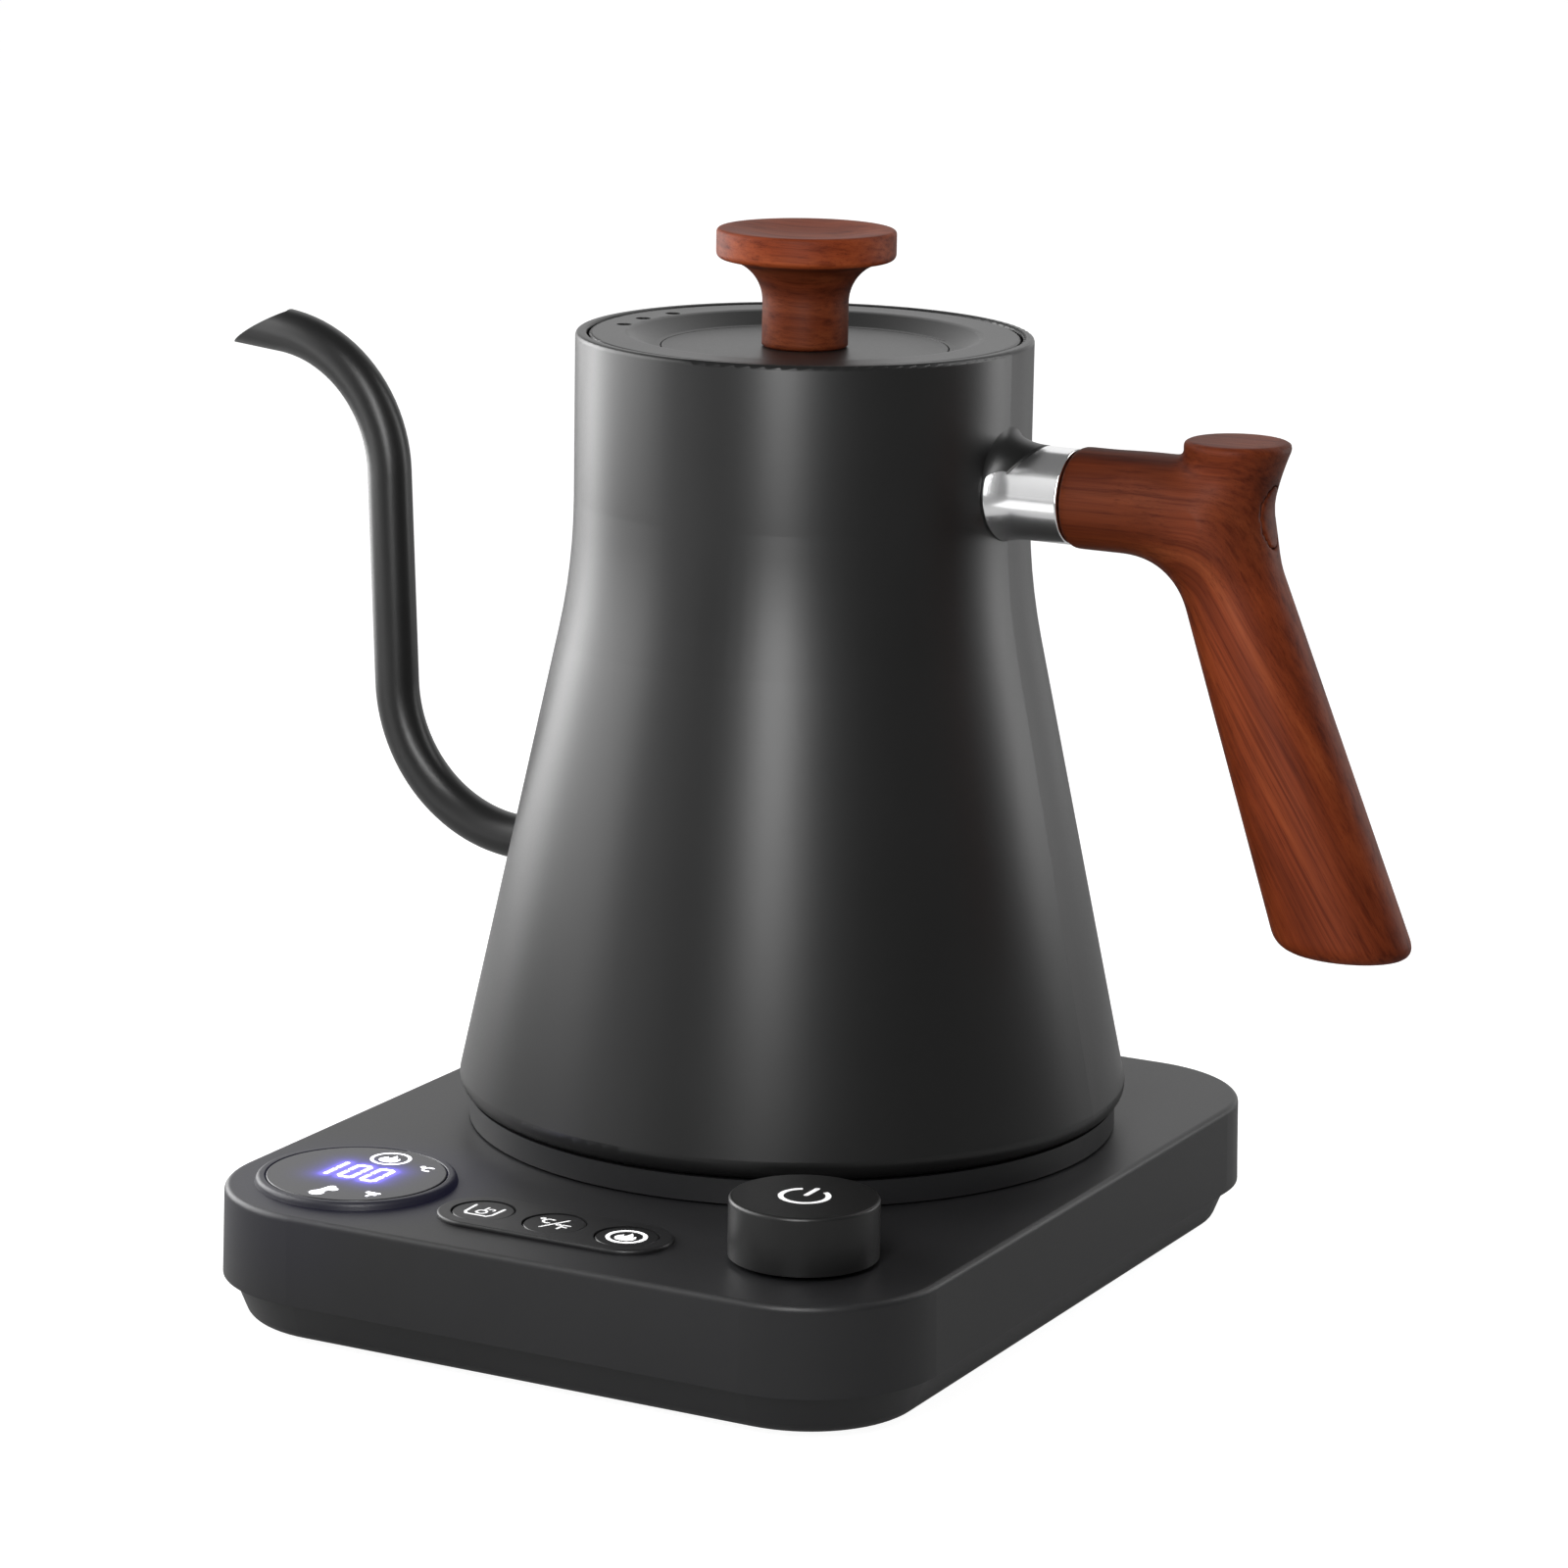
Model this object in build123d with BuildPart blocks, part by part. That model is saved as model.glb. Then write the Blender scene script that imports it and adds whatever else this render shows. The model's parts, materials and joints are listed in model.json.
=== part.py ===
"""Electric gooseneck kettle on a square control base.

Frame: millimetres, +Z up, origin on the table at the centre of the base's footprint.
+X points to the handle, -X to the spout and -Y to the control panel.
The kettle's own axis stands behind the base's centre, at Y = AXIS_Y.
"""

import os
from math import atan, cos, degrees, radians, sin

from build123d import *

os.makedirs("parts", exist_ok=True)

# ---------------------------------------------------------------- driving dimensions
# Control base
BASE_WIDTH = 150.0          # along X
BASE_DEPTH = 185.0          # along Y
BASE_CORNER = 26.7          # plan corner radius
BASE_TOP = 27.2             # upper face of the base above the table
SEAM_Z = 9.9                # lower edge of the top shell
FOOT_PROUD = 1.5            # rubber feet below the bottom cover
PLASTIC = 2.5               # wall of the base's two shells
DRAFT = 1.3                 # mould draft of the top shell, degrees
COVER_INSET_TOP = 2.0       # bottom cover's outline inside the top shell's
COVER_INSET_BOTTOM = 5.2
AXIS_Y = 18.4               # kettle axis behind the base's centre

# Kettle body, heights above the base's upper face
RIM_Z = BASE_TOP + 157.7
NECK_R = 44.66
CONE_R = 46.18              # radius of the cone at CONE_Z
CONE_Z = BASE_TOP + 104.5
CONE_SLOPE = 0.2135         # radius gained per millimetre downwards
NECK_BLEND = 130.0          # radius of the soft shoulder between neck and cone
BODY_BOTTOM = BASE_TOP + 5.4
BODY_EDGE_R = 3.5
STEEL = 1.0                 # wall of the steel body
FOOT_RING_R = 64.65         # dark plastic ring that the kettle stands on
FOOT_RING_GAP = 0.4

# Spout: a round tube in the plane Y = AXIS_Y
TUBE_R = 4.5
TUBE_BORE = 3.7
SPOUT_Z = BASE_TOP + 48.8   # height where it leaves the body
SPOUT_BEND_X = -62.95       # the lower bend's centre
SPOUT_BEND_R = 30.4
SPOUT_LEAN = 2.4            # degrees off vertical of the long riser
SPOUT_RISE = 43.8
SPOUT_CROOK_R = 28.1        # the upper bend
SPOUT_MOUTH_ANGLE = 5.5     # degrees above level of the last stretch
SPOUT_TIP = (-132.5, BASE_TOP + 144.8)
SPOUT_CUT_TOP = (-119.2, BASE_TOP + 152.6)

# Handle: collar, arm, thumb rest and leg in the same plane
ARM_Z = BASE_TOP + 131.0
ARM_R = 9.9
ARM_START = 59.1
COLLAR_R = 9.2
COLLAR_FLARE = 10.8
REST_X = 92.0               # axis of the round thumb rest
REST_R = 10.6
REST_WAIST = 7.6
REST_TOP = BASE_TOP + 144.8
LEG_BOTTOM = BASE_TOP + 48.9
LEG_TOP_X, LEG_TOP_A, LEG_TOP_B = 88.0, 10.6, 9.3
LEG_END_X, LEG_END_A, LEG_END_B = 117.8, 13.9, 10.4
PLUG_R = 6.0

# Lid
LID_R = 42.0
LID_TOP = BASE_TOP + 157.5
LID_DISH = 2.45             # depth of the dish in the lid
LID_DISC_R = 28.0
LID_STEM_R = 8.4
LID_KNOB_R = 17.5
LID_KNOB_TOP = BASE_TOP + 178.0
VENT_RING_R = 36.5
VENT_R = 1.5

# Control panel
DISPLAY_X, DISPLAY_Y, DISPLAY_R = -49.5, -66.0, 19.5
DISPLAY_PROUD = 1.5
PANEL_X, PANEL_Y = -2.0, -72.0
PANEL_PROUD = 0.9
BUTTON_PITCH = 15.5
BUTTON_R = 5.9
KNOB_X, KNOB_Y, KNOB_R = 46.8, -64.8, 14.0
KNOB_BOTTOM = BASE_TOP + 1.0
KNOB_TOP = BASE_TOP + 12.1

GAP = 0.3                   # between pieces that move past each other
SEAT = 0.05                 # between pieces that are fixed to each other

# ---------------------------------------------------------------- planes and axes
SIDE = Plane.XZ.offset(-AXIS_Y)                     # local x is X, local y is Z
KETTLE_AXIS = Axis((0, AXIS_Y, 0), (0, 0, 1))
ARM_AXIS = Axis((0, AXIS_Y, ARM_Z), (1, 0, 0))
WALL_TOP = BASE_TOP - PLASTIC                       # underside of the base's upper wall


def level(z, x=0.0, y=0.0):
    """A horizontal plane at height z with its origin at (x, y)."""
    return Plane.XY.offset(z) * Pos(x, y)


def cone_radius(z):
    """Outer radius of the conical body at height z."""
    return CONE_R + (CONE_Z - z) * CONE_SLOPE


def ring_profile(inner, outer, low, high):
    """Rectangle between two radii and two heights, for a turned ring."""
    with BuildLine() as outline:
        Polyline((inner, low), (outer, low), (outer, high), (inner, high), close=True)
    make_face(outline.edges())


def rounded_face(*corners):
    """Closed outline of (x, y, corner radius) points as a flat face; radius 0 keeps a corner sharp."""
    with BuildSketch() as outline:
        with BuildLine():
            Polyline(*[(x, y) for x, y, _ in corners], close=True)
        make_face()
        for x, y, radius in corners:
            if radius:
                fillet(outline.vertices().sort_by_distance((x, y))[0], radius)
    return outline.sketch


NECK_BASE_Z = CONE_Z + (CONE_R - NECK_R) / CONE_SLOPE   # where neck and cone lines meet
BUTTON_XS = [PANEL_X + i * BUTTON_PITCH for i in (-1, 0, 1)]
BASE_SCREW_PLACES = [(x, y) for x in (-62.0, 62.0) for y in (-36.0, 44.0)]
FOOT_PLACES = [(x, y) for x in (-50.0, 50.0) for y in (-67.0, 67.0)]


# ================================================================ CONTROL BASE
BOSS_R = 4.0
BOSS_BOTTOM = 5.2
SCREW_R = 1.5
TOWER_R = 16.8
DISPLAY_HOLE = 16.5
BUTTON_HOLE = 6.2
BUSHING_R = 3.6
GLAND_Z = 17.8
GLAND_R = 4.8

with BuildPart() as base_housing:
    with BuildSketch(level(SEAM_Z)):
        RectangleRounded(BASE_WIDTH, BASE_DEPTH, BASE_CORNER)
    extrude(amount=BASE_TOP - SEAM_Z, taper=DRAFT)
    fillet(base_housing.faces().sort_by(Axis.Z)[-1].edges(), 1.2)
    with BuildSketch(level(SEAM_Z)):
        RectangleRounded(BASE_WIDTH - 2 * PLASTIC, BASE_DEPTH - 2 * PLASTIC, BASE_CORNER - PLASTIC)
    extrude(amount=WALL_TOP - SEAM_Z, taper=DRAFT, mode=Mode.SUBTRACT)
    # screw posts that reach down to the bottom cover
    with BuildSketch(level(BOSS_BOTTOM)):
        with Locations(*BASE_SCREW_PLACES):
            Circle(BOSS_R)
    extrude(amount=WALL_TOP - BOSS_BOTTOM + 1.0)
    with BuildSketch(level(BOSS_BOTTOM)):
        with Locations(*BASE_SCREW_PLACES):
            Circle(SCREW_R)
    extrude(amount=12.0, mode=Mode.SUBTRACT)
    # openings for the connector tower, the display, the buttons and the knob's bushing
    with BuildSketch(level(WALL_TOP - 1.0)):
        with Locations((0, AXIS_Y)):
            Circle(TOWER_R + 0.2)
        with Locations((DISPLAY_X, DISPLAY_Y)):
            Circle(DISPLAY_HOLE)
        with Locations(*[(x, PANEL_Y) for x in BUTTON_XS]):
            Circle(BUTTON_HOLE)
        with Locations((KNOB_X, KNOB_Y)):
            Circle(BUSHING_R + 0.3)
    extrude(amount=PLASTIC + 2.0, mode=Mode.SUBTRACT)
    # round hole for the cord's gland in the rear wall
    with BuildSketch(Plane.XZ.offset(-BASE_DEPTH / 2 + 6.0)):
        with Locations((0, GLAND_Z)):
            Circle(GLAND_R + SEAT)
    extrude(amount=-8.0, mode=Mode.SUBTRACT)
base_housing.part.label = "base_housing"
export_step(base_housing.part, "parts/base_housing.step")

COVER_TOP = SEAM_Z - 0.4
COVER_FLARE = degrees(atan((COVER_INSET_BOTTOM - COVER_INSET_TOP) / (COVER_TOP - FOOT_PROUD)))
FLOOR_TOP = FOOT_PROUD + 2.0
SPIGOT_TOP = 11.0
FOOT_R = 8.0
FOOT_POCKET = 0.8
SCREW_HEAD_R = 3.0

with BuildPart() as base_bottom_cover:
    with BuildSketch(level(FOOT_PROUD)):
        RectangleRounded(
            BASE_WIDTH - 2 * COVER_INSET_BOTTOM,
            BASE_DEPTH - 2 * COVER_INSET_BOTTOM,
            BASE_CORNER - COVER_INSET_BOTTOM,
        )
    extrude(amount=COVER_TOP - FOOT_PROUD, taper=-COVER_FLARE)
    fillet(base_bottom_cover.faces().sort_by(Axis.Z)[0].edges(), 3.0)
    # the spigot that locates the cover inside the top shell
    spigot_inset = PLASTIC + 0.25
    with BuildSketch(level(COVER_TOP - 1.0)):
        RectangleRounded(
            BASE_WIDTH - 2 * spigot_inset, BASE_DEPTH - 2 * spigot_inset, BASE_CORNER - spigot_inset
        )
    extrude(amount=SPIGOT_TOP - COVER_TOP + 1.0, taper=DRAFT)
    cavity_inset = 7.5
    with BuildSketch(level(FLOOR_TOP)):
        RectangleRounded(
            BASE_WIDTH - 2 * cavity_inset, BASE_DEPTH - 2 * cavity_inset, BASE_CORNER - cavity_inset
        )
    extrude(amount=SPIGOT_TOP, mode=Mode.SUBTRACT)
    # screw holes with sunk heads, and shallow pockets for the feet
    with BuildSketch(level(0.0)):
        with Locations(*BASE_SCREW_PLACES):
            Circle(SCREW_R + 0.2)
    extrude(amount=FLOOR_TOP + 1.0, mode=Mode.SUBTRACT)
    with BuildSketch(level(0.0)):
        with Locations(*BASE_SCREW_PLACES):
            Circle(SCREW_HEAD_R + 0.2)
    extrude(amount=FOOT_PROUD + 1.2, mode=Mode.SUBTRACT)
    with BuildSketch(level(0.0)):
        with Locations(*FOOT_PLACES):
            Circle(FOOT_R + 0.1)
    extrude(amount=FOOT_PROUD + FOOT_POCKET, mode=Mode.SUBTRACT)
base_bottom_cover.part.label = "base_bottom_cover"
export_step(base_bottom_cover.part, "parts/base_bottom_cover.step")

with BuildPart() as base_feet:
    with BuildSketch(level(0.0)):
        with Locations(*FOOT_PLACES):
            Circle(FOOT_R)
    extrude(amount=FOOT_PROUD + FOOT_POCKET - SEAT)
    chamfer(base_feet.edges().group_by(Axis.Z)[0], 0.5)
base_feet.part.label = "base_feet"
export_step(base_feet.part, "parts/base_feet.step")

with BuildPart() as base_screws:
    with BuildSketch(level(FOOT_PROUD + 0.2)):
        with Locations(*BASE_SCREW_PLACES):
            Circle(SCREW_HEAD_R)
    extrude(amount=0.95)
    with BuildSketch(level(FOOT_PROUD + 1.0)):
        with Locations(*BASE_SCREW_PLACES):
            Circle(SCREW_R - SEAT)
    extrude(amount=12.0)
    # cross recess in each head
    with BuildSketch(level(FOOT_PROUD + 0.1)):
        with Locations(*BASE_SCREW_PLACES):
            Rectangle(3.2, 0.7)
            Rectangle(0.7, 3.2)
    extrude(amount=0.6, mode=Mode.SUBTRACT)
base_screws.part.label = "base_screws"
export_step(base_screws.part, "parts/base_screws.step")

# ---------------------------------------------------------------- connector tower
TOWER_TOP = BASE_TOP + 10.4
TOWER_FOOT = WALL_TOP - 6.0
TOWER_FLANGE = 0.8                       # holds the tower under the upper wall
GROOVES = [(11.8, 14.2), (7.0, 9.4)]     # inner and outer radius of the two contact grooves
GROOVE_FLOOR = TOWER_TOP - 5.5
PIN_HOLE = 3.2

with BuildPart() as tower:
    with BuildSketch(SIDE):
        ring_profile(0, TOWER_R, TOWER_FOOT, TOWER_TOP)
        ring_profile(0, TOWER_R + TOWER_FLANGE, TOWER_FOOT, WALL_TOP - SEAT)
    revolve(axis=KETTLE_AXIS)
    fillet(tower.faces().sort_by(Axis.Z)[-1].edges(), 1.0)
    for inner, outer in GROOVES:
        with BuildSketch(SIDE):
            ring_profile(inner, outer, GROOVE_FLOOR, TOWER_TOP + 1.0)
        revolve(axis=KETTLE_AXIS, mode=Mode.SUBTRACT)
    with BuildSketch(SIDE):
        ring_profile(0, PIN_HOLE, GROOVE_FLOOR, TOWER_TOP + 1.0)
    revolve(axis=KETTLE_AXIS, mode=Mode.SUBTRACT)
tower.part.label = "connector_tower"
export_step(tower.part, "parts/connector_tower.step")

with BuildPart() as tower_contacts:
    for inner in (GROOVES[0][0], GROOVES[1][0]):
        with BuildSketch(SIDE):
            ring_profile(inner + SEAT, inner + 0.45, GROOVE_FLOOR + SEAT, TOWER_TOP - 0.8)
        revolve(axis=KETTLE_AXIS)
    with BuildSketch(SIDE):
        ring_profile(PIN_HOLE - 0.4, PIN_HOLE - SEAT, GROOVE_FLOOR + SEAT, TOWER_TOP - 0.8)
    revolve(axis=KETTLE_AXIS)
tower_contacts.part.label = "tower_contacts"
export_step(tower_contacts.part, "parts/tower_contacts.step")

# ---------------------------------------------------------------- display
DISPLAY_AXIS = Axis((DISPLAY_X, DISPLAY_Y, 0), (0, 0, 1))
DISPLAY_PLANE = Plane.XZ.offset(-DISPLAY_Y) * Pos(DISPLAY_X, 0)
DISPLAY_TOP = BASE_TOP + DISPLAY_PROUD
WINDOW_R = 17.3
WINDOW_T = 1.0

with BuildPart() as display_bezel:
    with BuildSketch(DISPLAY_PLANE):
        add(
            rounded_face(
                (15.0, WALL_TOP, 0),
                (DISPLAY_HOLE - 0.1, WALL_TOP, 0),
                (DISPLAY_HOLE - 0.1, BASE_TOP + SEAT, 0),
                (DISPLAY_R, BASE_TOP + SEAT, 0),
                (DISPLAY_R - 0.4, DISPLAY_TOP, 1.0),
                (WINDOW_R + 0.25, DISPLAY_TOP, 0.25),
                (WINDOW_R + 0.25, DISPLAY_TOP - WINDOW_T - SEAT, 0),
                (15.0, DISPLAY_TOP - WINDOW_T - SEAT, 0),
            )
        )
    revolve(axis=DISPLAY_AXIS)
display_bezel.part.label = "display_bezel"
export_step(display_bezel.part, "parts/display_bezel.step")

with BuildPart() as display_window:
    with BuildSketch(level(DISPLAY_TOP - WINDOW_T, DISPLAY_X, DISPLAY_Y)):
        Circle(WINDOW_R)
    extrude(amount=WINDOW_T)
    fillet(display_window.faces().sort_by(Axis.Z)[-1].edges(), 0.25)
display_window.part.label = "display_window"
export_step(display_window.part, "parts/display_window.step")

BOARD_Z = 16.0
BOARD_T = 1.6
BOARD_TOP = BOARD_Z + BOARD_T

with BuildPart() as control_board:
    with BuildSketch(level(BOARD_Z, 0, -67.0)):
        Rectangle(122.0, 34.0)
        with Locations((-58.0, 14.0), (58.0, 14.0)):
            Circle(1.6, mode=Mode.SUBTRACT)
    extrude(amount=BOARD_T)
control_board.part.label = "control_board"
export_step(control_board.part, "parts/control_board.step")

with BuildPart() as display_module:
    with BuildSketch(level(BOARD_TOP + SEAT, DISPLAY_X, DISPLAY_Y)):
        Circle(14.5)
    extrude(amount=DISPLAY_TOP - WINDOW_T - BOARD_TOP - 3 * SEAT)
    # light wells behind the digits
    with BuildSketch(level(WALL_TOP, DISPLAY_X, DISPLAY_Y)):
        with Locations((-7.0, 0), (0, 0), (7.0, 0)):
            Rectangle(5.6, 10.4)
    extrude(amount=6.0, mode=Mode.SUBTRACT)
display_module.part.label = "display_module"
export_step(display_module.part, "parts/display_module.step")

# ---------------------------------------------------------------- buttons
PANEL_TOP = BASE_TOP + PANEL_PROUD
PANEL_LENGTH = 48.6
PANEL_WIDTH = 17.4

with BuildPart() as button_panel:
    with BuildSketch(level(BASE_TOP + SEAT, PANEL_X, PANEL_Y)):
        SlotOverall(PANEL_LENGTH, PANEL_WIDTH)
    extrude(amount=PANEL_PROUD - SEAT)
    fillet(button_panel.faces().sort_by(Axis.Z)[-1].edges(), 0.55)
    with BuildSketch(level(BASE_TOP, PANEL_X, PANEL_Y)):
        with GridLocations(BUTTON_PITCH, 0, 3, 1):
            Circle(BUTTON_HOLE)
    extrude(amount=PANEL_PROUD + 1.0, mode=Mode.SUBTRACT)
button_panel.part.label = "button_panel"
export_step(button_panel.part, "parts/button_panel.step")

BUTTON_TOP = PANEL_TOP - 0.15
BUTTON_TRAVEL = 0.4
FLANGE_TOP = WALL_TOP - GAP
SWITCH_TOP = BOARD_TOP + 2.6
BUTTON_NAMES = ["keep_warm_button", "unit_button", "heat_button"]

for button_name, button_x in zip(BUTTON_NAMES, BUTTON_XS):
    with BuildPart() as button:
        with BuildSketch(level(FLANGE_TOP - 0.1, button_x, PANEL_Y)):
            Circle(BUTTON_R)
        extrude(amount=BUTTON_TOP - FLANGE_TOP + 0.1)
        # cupped finger face
        rim_edges = button.faces().sort_by(Axis.Z)[-1].edges()
        chamfer(rim_edges, 0.2)
        # retaining flange below the upper wall, and the stem over the switch
        with BuildSketch(level(FLANGE_TOP - 0.9, button_x, PANEL_Y)):
            Circle(BUTTON_R + 1.1)
        extrude(amount=0.9)
        with BuildSketch(level(SWITCH_TOP + BUTTON_TRAVEL + GAP, button_x, PANEL_Y)):
            Circle(1.8)
        extrude(amount=FLANGE_TOP - 0.5 - SWITCH_TOP - BUTTON_TRAVEL - GAP)
    button.part.label = button_name
    export_step(button.part, f"parts/{button_name}.step")

with BuildPart() as button_switches:
    with BuildSketch(level(BOARD_TOP + SEAT, PANEL_X, PANEL_Y)):
        with GridLocations(BUTTON_PITCH, 0, 3, 1):
            Rectangle(6.0, 6.0)
    extrude(amount=1.9)
    with BuildSketch(level(BOARD_TOP + 1.5, PANEL_X, PANEL_Y)):
        with GridLocations(BUTTON_PITCH, 0, 3, 1):
            Circle(1.6)
    extrude(amount=SWITCH_TOP - BOARD_TOP - 1.5)
button_switches.part.label = "button_switches"
export_step(button_switches.part, "parts/button_switches.step")

# ---------------------------------------------------------------- rotary knob
KNOB_AXIS = Axis((KNOB_X, KNOB_Y, 0), (0, 0, 1))
KNOB_PLANE = Plane.XZ.offset(-KNOB_Y) * Pos(KNOB_X, 0)
SHAFT_R = 3.0
SHAFT_BOTTOM = BOARD_TOP + 2.6
KNOB_TRAVEL = 0.5
ENCODER_TOP = WALL_TOP - 0.4

with BuildPart() as encoder_body:
    with BuildSketch(level(BOARD_TOP + SEAT, KNOB_X, KNOB_Y)):
        Rectangle(13.0, 13.0)
    extrude(amount=ENCODER_TOP - BOARD_TOP - SEAT)
    with BuildSketch(KNOB_PLANE):
        ring_profile(0, BUSHING_R, ENCODER_TOP - 0.5, BASE_TOP - 0.2)
    revolve(axis=KNOB_AXIS)
    with BuildSketch(KNOB_PLANE):
        ring_profile(0, SHAFT_R + 0.06, SHAFT_BOTTOM - KNOB_TRAVEL - 0.2, BASE_TOP)
        ring_profile(0, 2.4, BOARD_TOP + 0.6, SHAFT_BOTTOM)
    revolve(axis=KNOB_AXIS, mode=Mode.SUBTRACT)
encoder_body.part.label = "encoder_body"
export_step(encoder_body.part, "parts/encoder_body.step")

with BuildPart() as encoder_plunger:
    with BuildSketch(level(BOARD_TOP + 0.6 + KNOB_TRAVEL + 0.25, KNOB_X, KNOB_Y)):
        Circle(2.1)
    extrude(amount=SHAFT_BOTTOM - SEAT - BOARD_TOP - 0.85 - KNOB_TRAVEL)
encoder_plunger.part.label = "encoder_plunger"
export_step(encoder_plunger.part, "parts/encoder_plunger.step")

SHAFT_TOP = KNOB_TOP - 3.0

with BuildPart() as encoder_shaft:
    with BuildSketch(level(SHAFT_BOTTOM, KNOB_X, KNOB_Y)):
        Circle(SHAFT_R)
    extrude(amount=SHAFT_TOP - SHAFT_BOTTOM)
    # the flat that keys the knob
    with BuildSketch(level(KNOB_BOTTOM, KNOB_X, KNOB_Y)):
        with Locations((0, SHAFT_R)):
            Rectangle(2 * SHAFT_R, 2.0)
    extrude(amount=SHAFT_TOP - KNOB_BOTTOM, mode=Mode.SUBTRACT)
encoder_shaft.part.label = "encoder_shaft"
export_step(encoder_shaft.part, "parts/encoder_shaft.step")

with BuildPart() as control_knob:
    with BuildSketch(level(KNOB_BOTTOM, KNOB_X, KNOB_Y)):
        Circle(KNOB_R)
    extrude(amount=KNOB_TOP - KNOB_BOTTOM)
    fillet(control_knob.faces().sort_by(Axis.Z)[-1].edges(), 0.7)
    # hollow underside with a hub around the shaft
    with BuildSketch(level(KNOB_BOTTOM, KNOB_X, KNOB_Y)):
        Circle(KNOB_R - 2.0)
        Circle(SHAFT_R + 2.2, mode=Mode.SUBTRACT)
    extrude(amount=KNOB_TOP - KNOB_BOTTOM - 2.2, mode=Mode.SUBTRACT)
    with BuildSketch(level(KNOB_BOTTOM, KNOB_X, KNOB_Y)):
        Circle(SHAFT_R + SEAT)
    extrude(amount=SHAFT_TOP - KNOB_BOTTOM + SEAT, mode=Mode.SUBTRACT)
control_knob.part.label = "control_knob"
export_step(control_knob.part, "parts/control_knob.step")

# ---------------------------------------------------------------- power electronics
POWER_Z = 6.4
POWER_TOP = POWER_Z + 1.6
POWER_Y = 38.0

with BuildPart() as power_board:
    with BuildSketch(level(POWER_Z, 0, POWER_Y)):
        Rectangle(104.0, 62.0)
        with GridLocations(96.0, 54.0, 2, 2):
            Circle(1.7, mode=Mode.SUBTRACT)
    extrude(amount=1.6)
power_board.part.label = "power_board"
export_step(power_board.part, "parts/power_board.step")

with BuildPart() as relay:
    with BuildSketch(level(POWER_TOP + SEAT, -38.0, 50.0)):
        Rectangle(19.0, 15.5)
    extrude(amount=15.0)
    fillet(relay.edges().filter_by(Axis.Z), 0.8)
relay.part.label = "relay"
export_step(relay.part, "parts/relay.step")

with BuildPart() as supply_transformer:
    with BuildSketch(level(POWER_TOP + SEAT, 38.0, 50.0)):
        Rectangle(18.0, 16.0)
    extrude(amount=3.0)
    with BuildSketch(level(POWER_TOP + 2.0, 38.0, 50.0)):
        Circle(7.0)
    extrude(amount=10.0)
    with BuildSketch(level(POWER_TOP + 11.0, 38.0, 50.0)):
        Rectangle(18.0, 16.0)
    extrude(amount=3.0)
supply_transformer.part.label = "supply_transformer"
export_step(supply_transformer.part, "parts/supply_transformer.step")

with BuildPart() as filter_capacitor:
    with BuildSketch(level(POWER_TOP + SEAT, 10.0, 60.0)):
        Rectangle(17.5, 8.0)
    extrude(amount=12.0)
    fillet(filter_capacitor.edges().filter_by(Axis.Z), 1.0)
filter_capacitor.part.label = "filter_capacitor"
export_step(filter_capacitor.part, "parts/filter_capacitor.step")

with BuildPart() as buzzer:
    with BuildSketch(level(POWER_TOP + SEAT, -14.0, 60.0)):
        Circle(6.0)
    extrude(amount=8.5)
    with BuildSketch(level(POWER_TOP + 8.0, -14.0, 60.0)):
        Circle(1.2)
    extrude(amount=2.0, mode=Mode.SUBTRACT)
buzzer.part.label = "buzzer"
export_step(buzzer.part, "parts/buzzer.step")

# ---------------------------------------------------------------- cord gland
GLAND_BORE = 3.4
GLAND_INNER_Y = 80.5
GLAND_OUTER_Y = 93.4
GLAND_AXIS = Axis((0, 0, GLAND_Z), (0, 1, 0))
GLAND_PROFILE = Plane(origin=(0, 0, GLAND_Z), x_dir=(0, 1, 0), z_dir=(1, 0, 0))

with BuildPart() as cord_gland:
    with BuildSketch(GLAND_PROFILE):
        with BuildLine():
            Polyline(
                (GLAND_INNER_Y, GLAND_BORE),
                (GLAND_INNER_Y, GLAND_R),
                (86.0, GLAND_R),
                (86.0, GLAND_R + 1.7),
                (89.3, GLAND_R + 1.7),
                (89.3, GLAND_R),
                (BASE_DEPTH / 2 + SEAT, GLAND_R),
                (BASE_DEPTH / 2 + SEAT, GLAND_R + 1.9),
                (GLAND_OUTER_Y, GLAND_R + 1.3),
                (GLAND_OUTER_Y, GLAND_BORE),
                close=True,
            )
        make_face()
    revolve(axis=GLAND_AXIS)
cord_gland.part.label = "cord_gland"
export_step(cord_gland.part, "parts/cord_gland.step")


# ================================================================ KETTLE
LIP_INNER = 42.4            # bore of the rolled lip around the lid
LEDGE_R = 41.05             # bore of the ledge that the lid rests on
LEDGE_TOP = LID_TOP - 1.8
FLANGE_BORE = 60.0          # turned-in bottom flange of the body


def body_outline(grow, top, bottom, edge_radius):
    """Points and corner radii of the body's side, moved outwards by grow."""
    points = [
        (NECK_R + grow, top),
        (NECK_R + grow, NECK_BASE_Z - grow * 0.106),
        (cone_radius(bottom) + grow * 1.0225, bottom),
        (FLANGE_BORE, bottom),
    ]
    return points, (NECK_BLEND, edge_radius)


outer_points, outer_radii = body_outline(0.0, RIM_Z - 3.0, BODY_BOTTOM, BODY_EDGE_R)
inner_points, inner_radii = body_outline(-STEEL, RIM_Z - 3.0, BODY_BOTTOM + STEEL, BODY_EDGE_R - STEEL)

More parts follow.
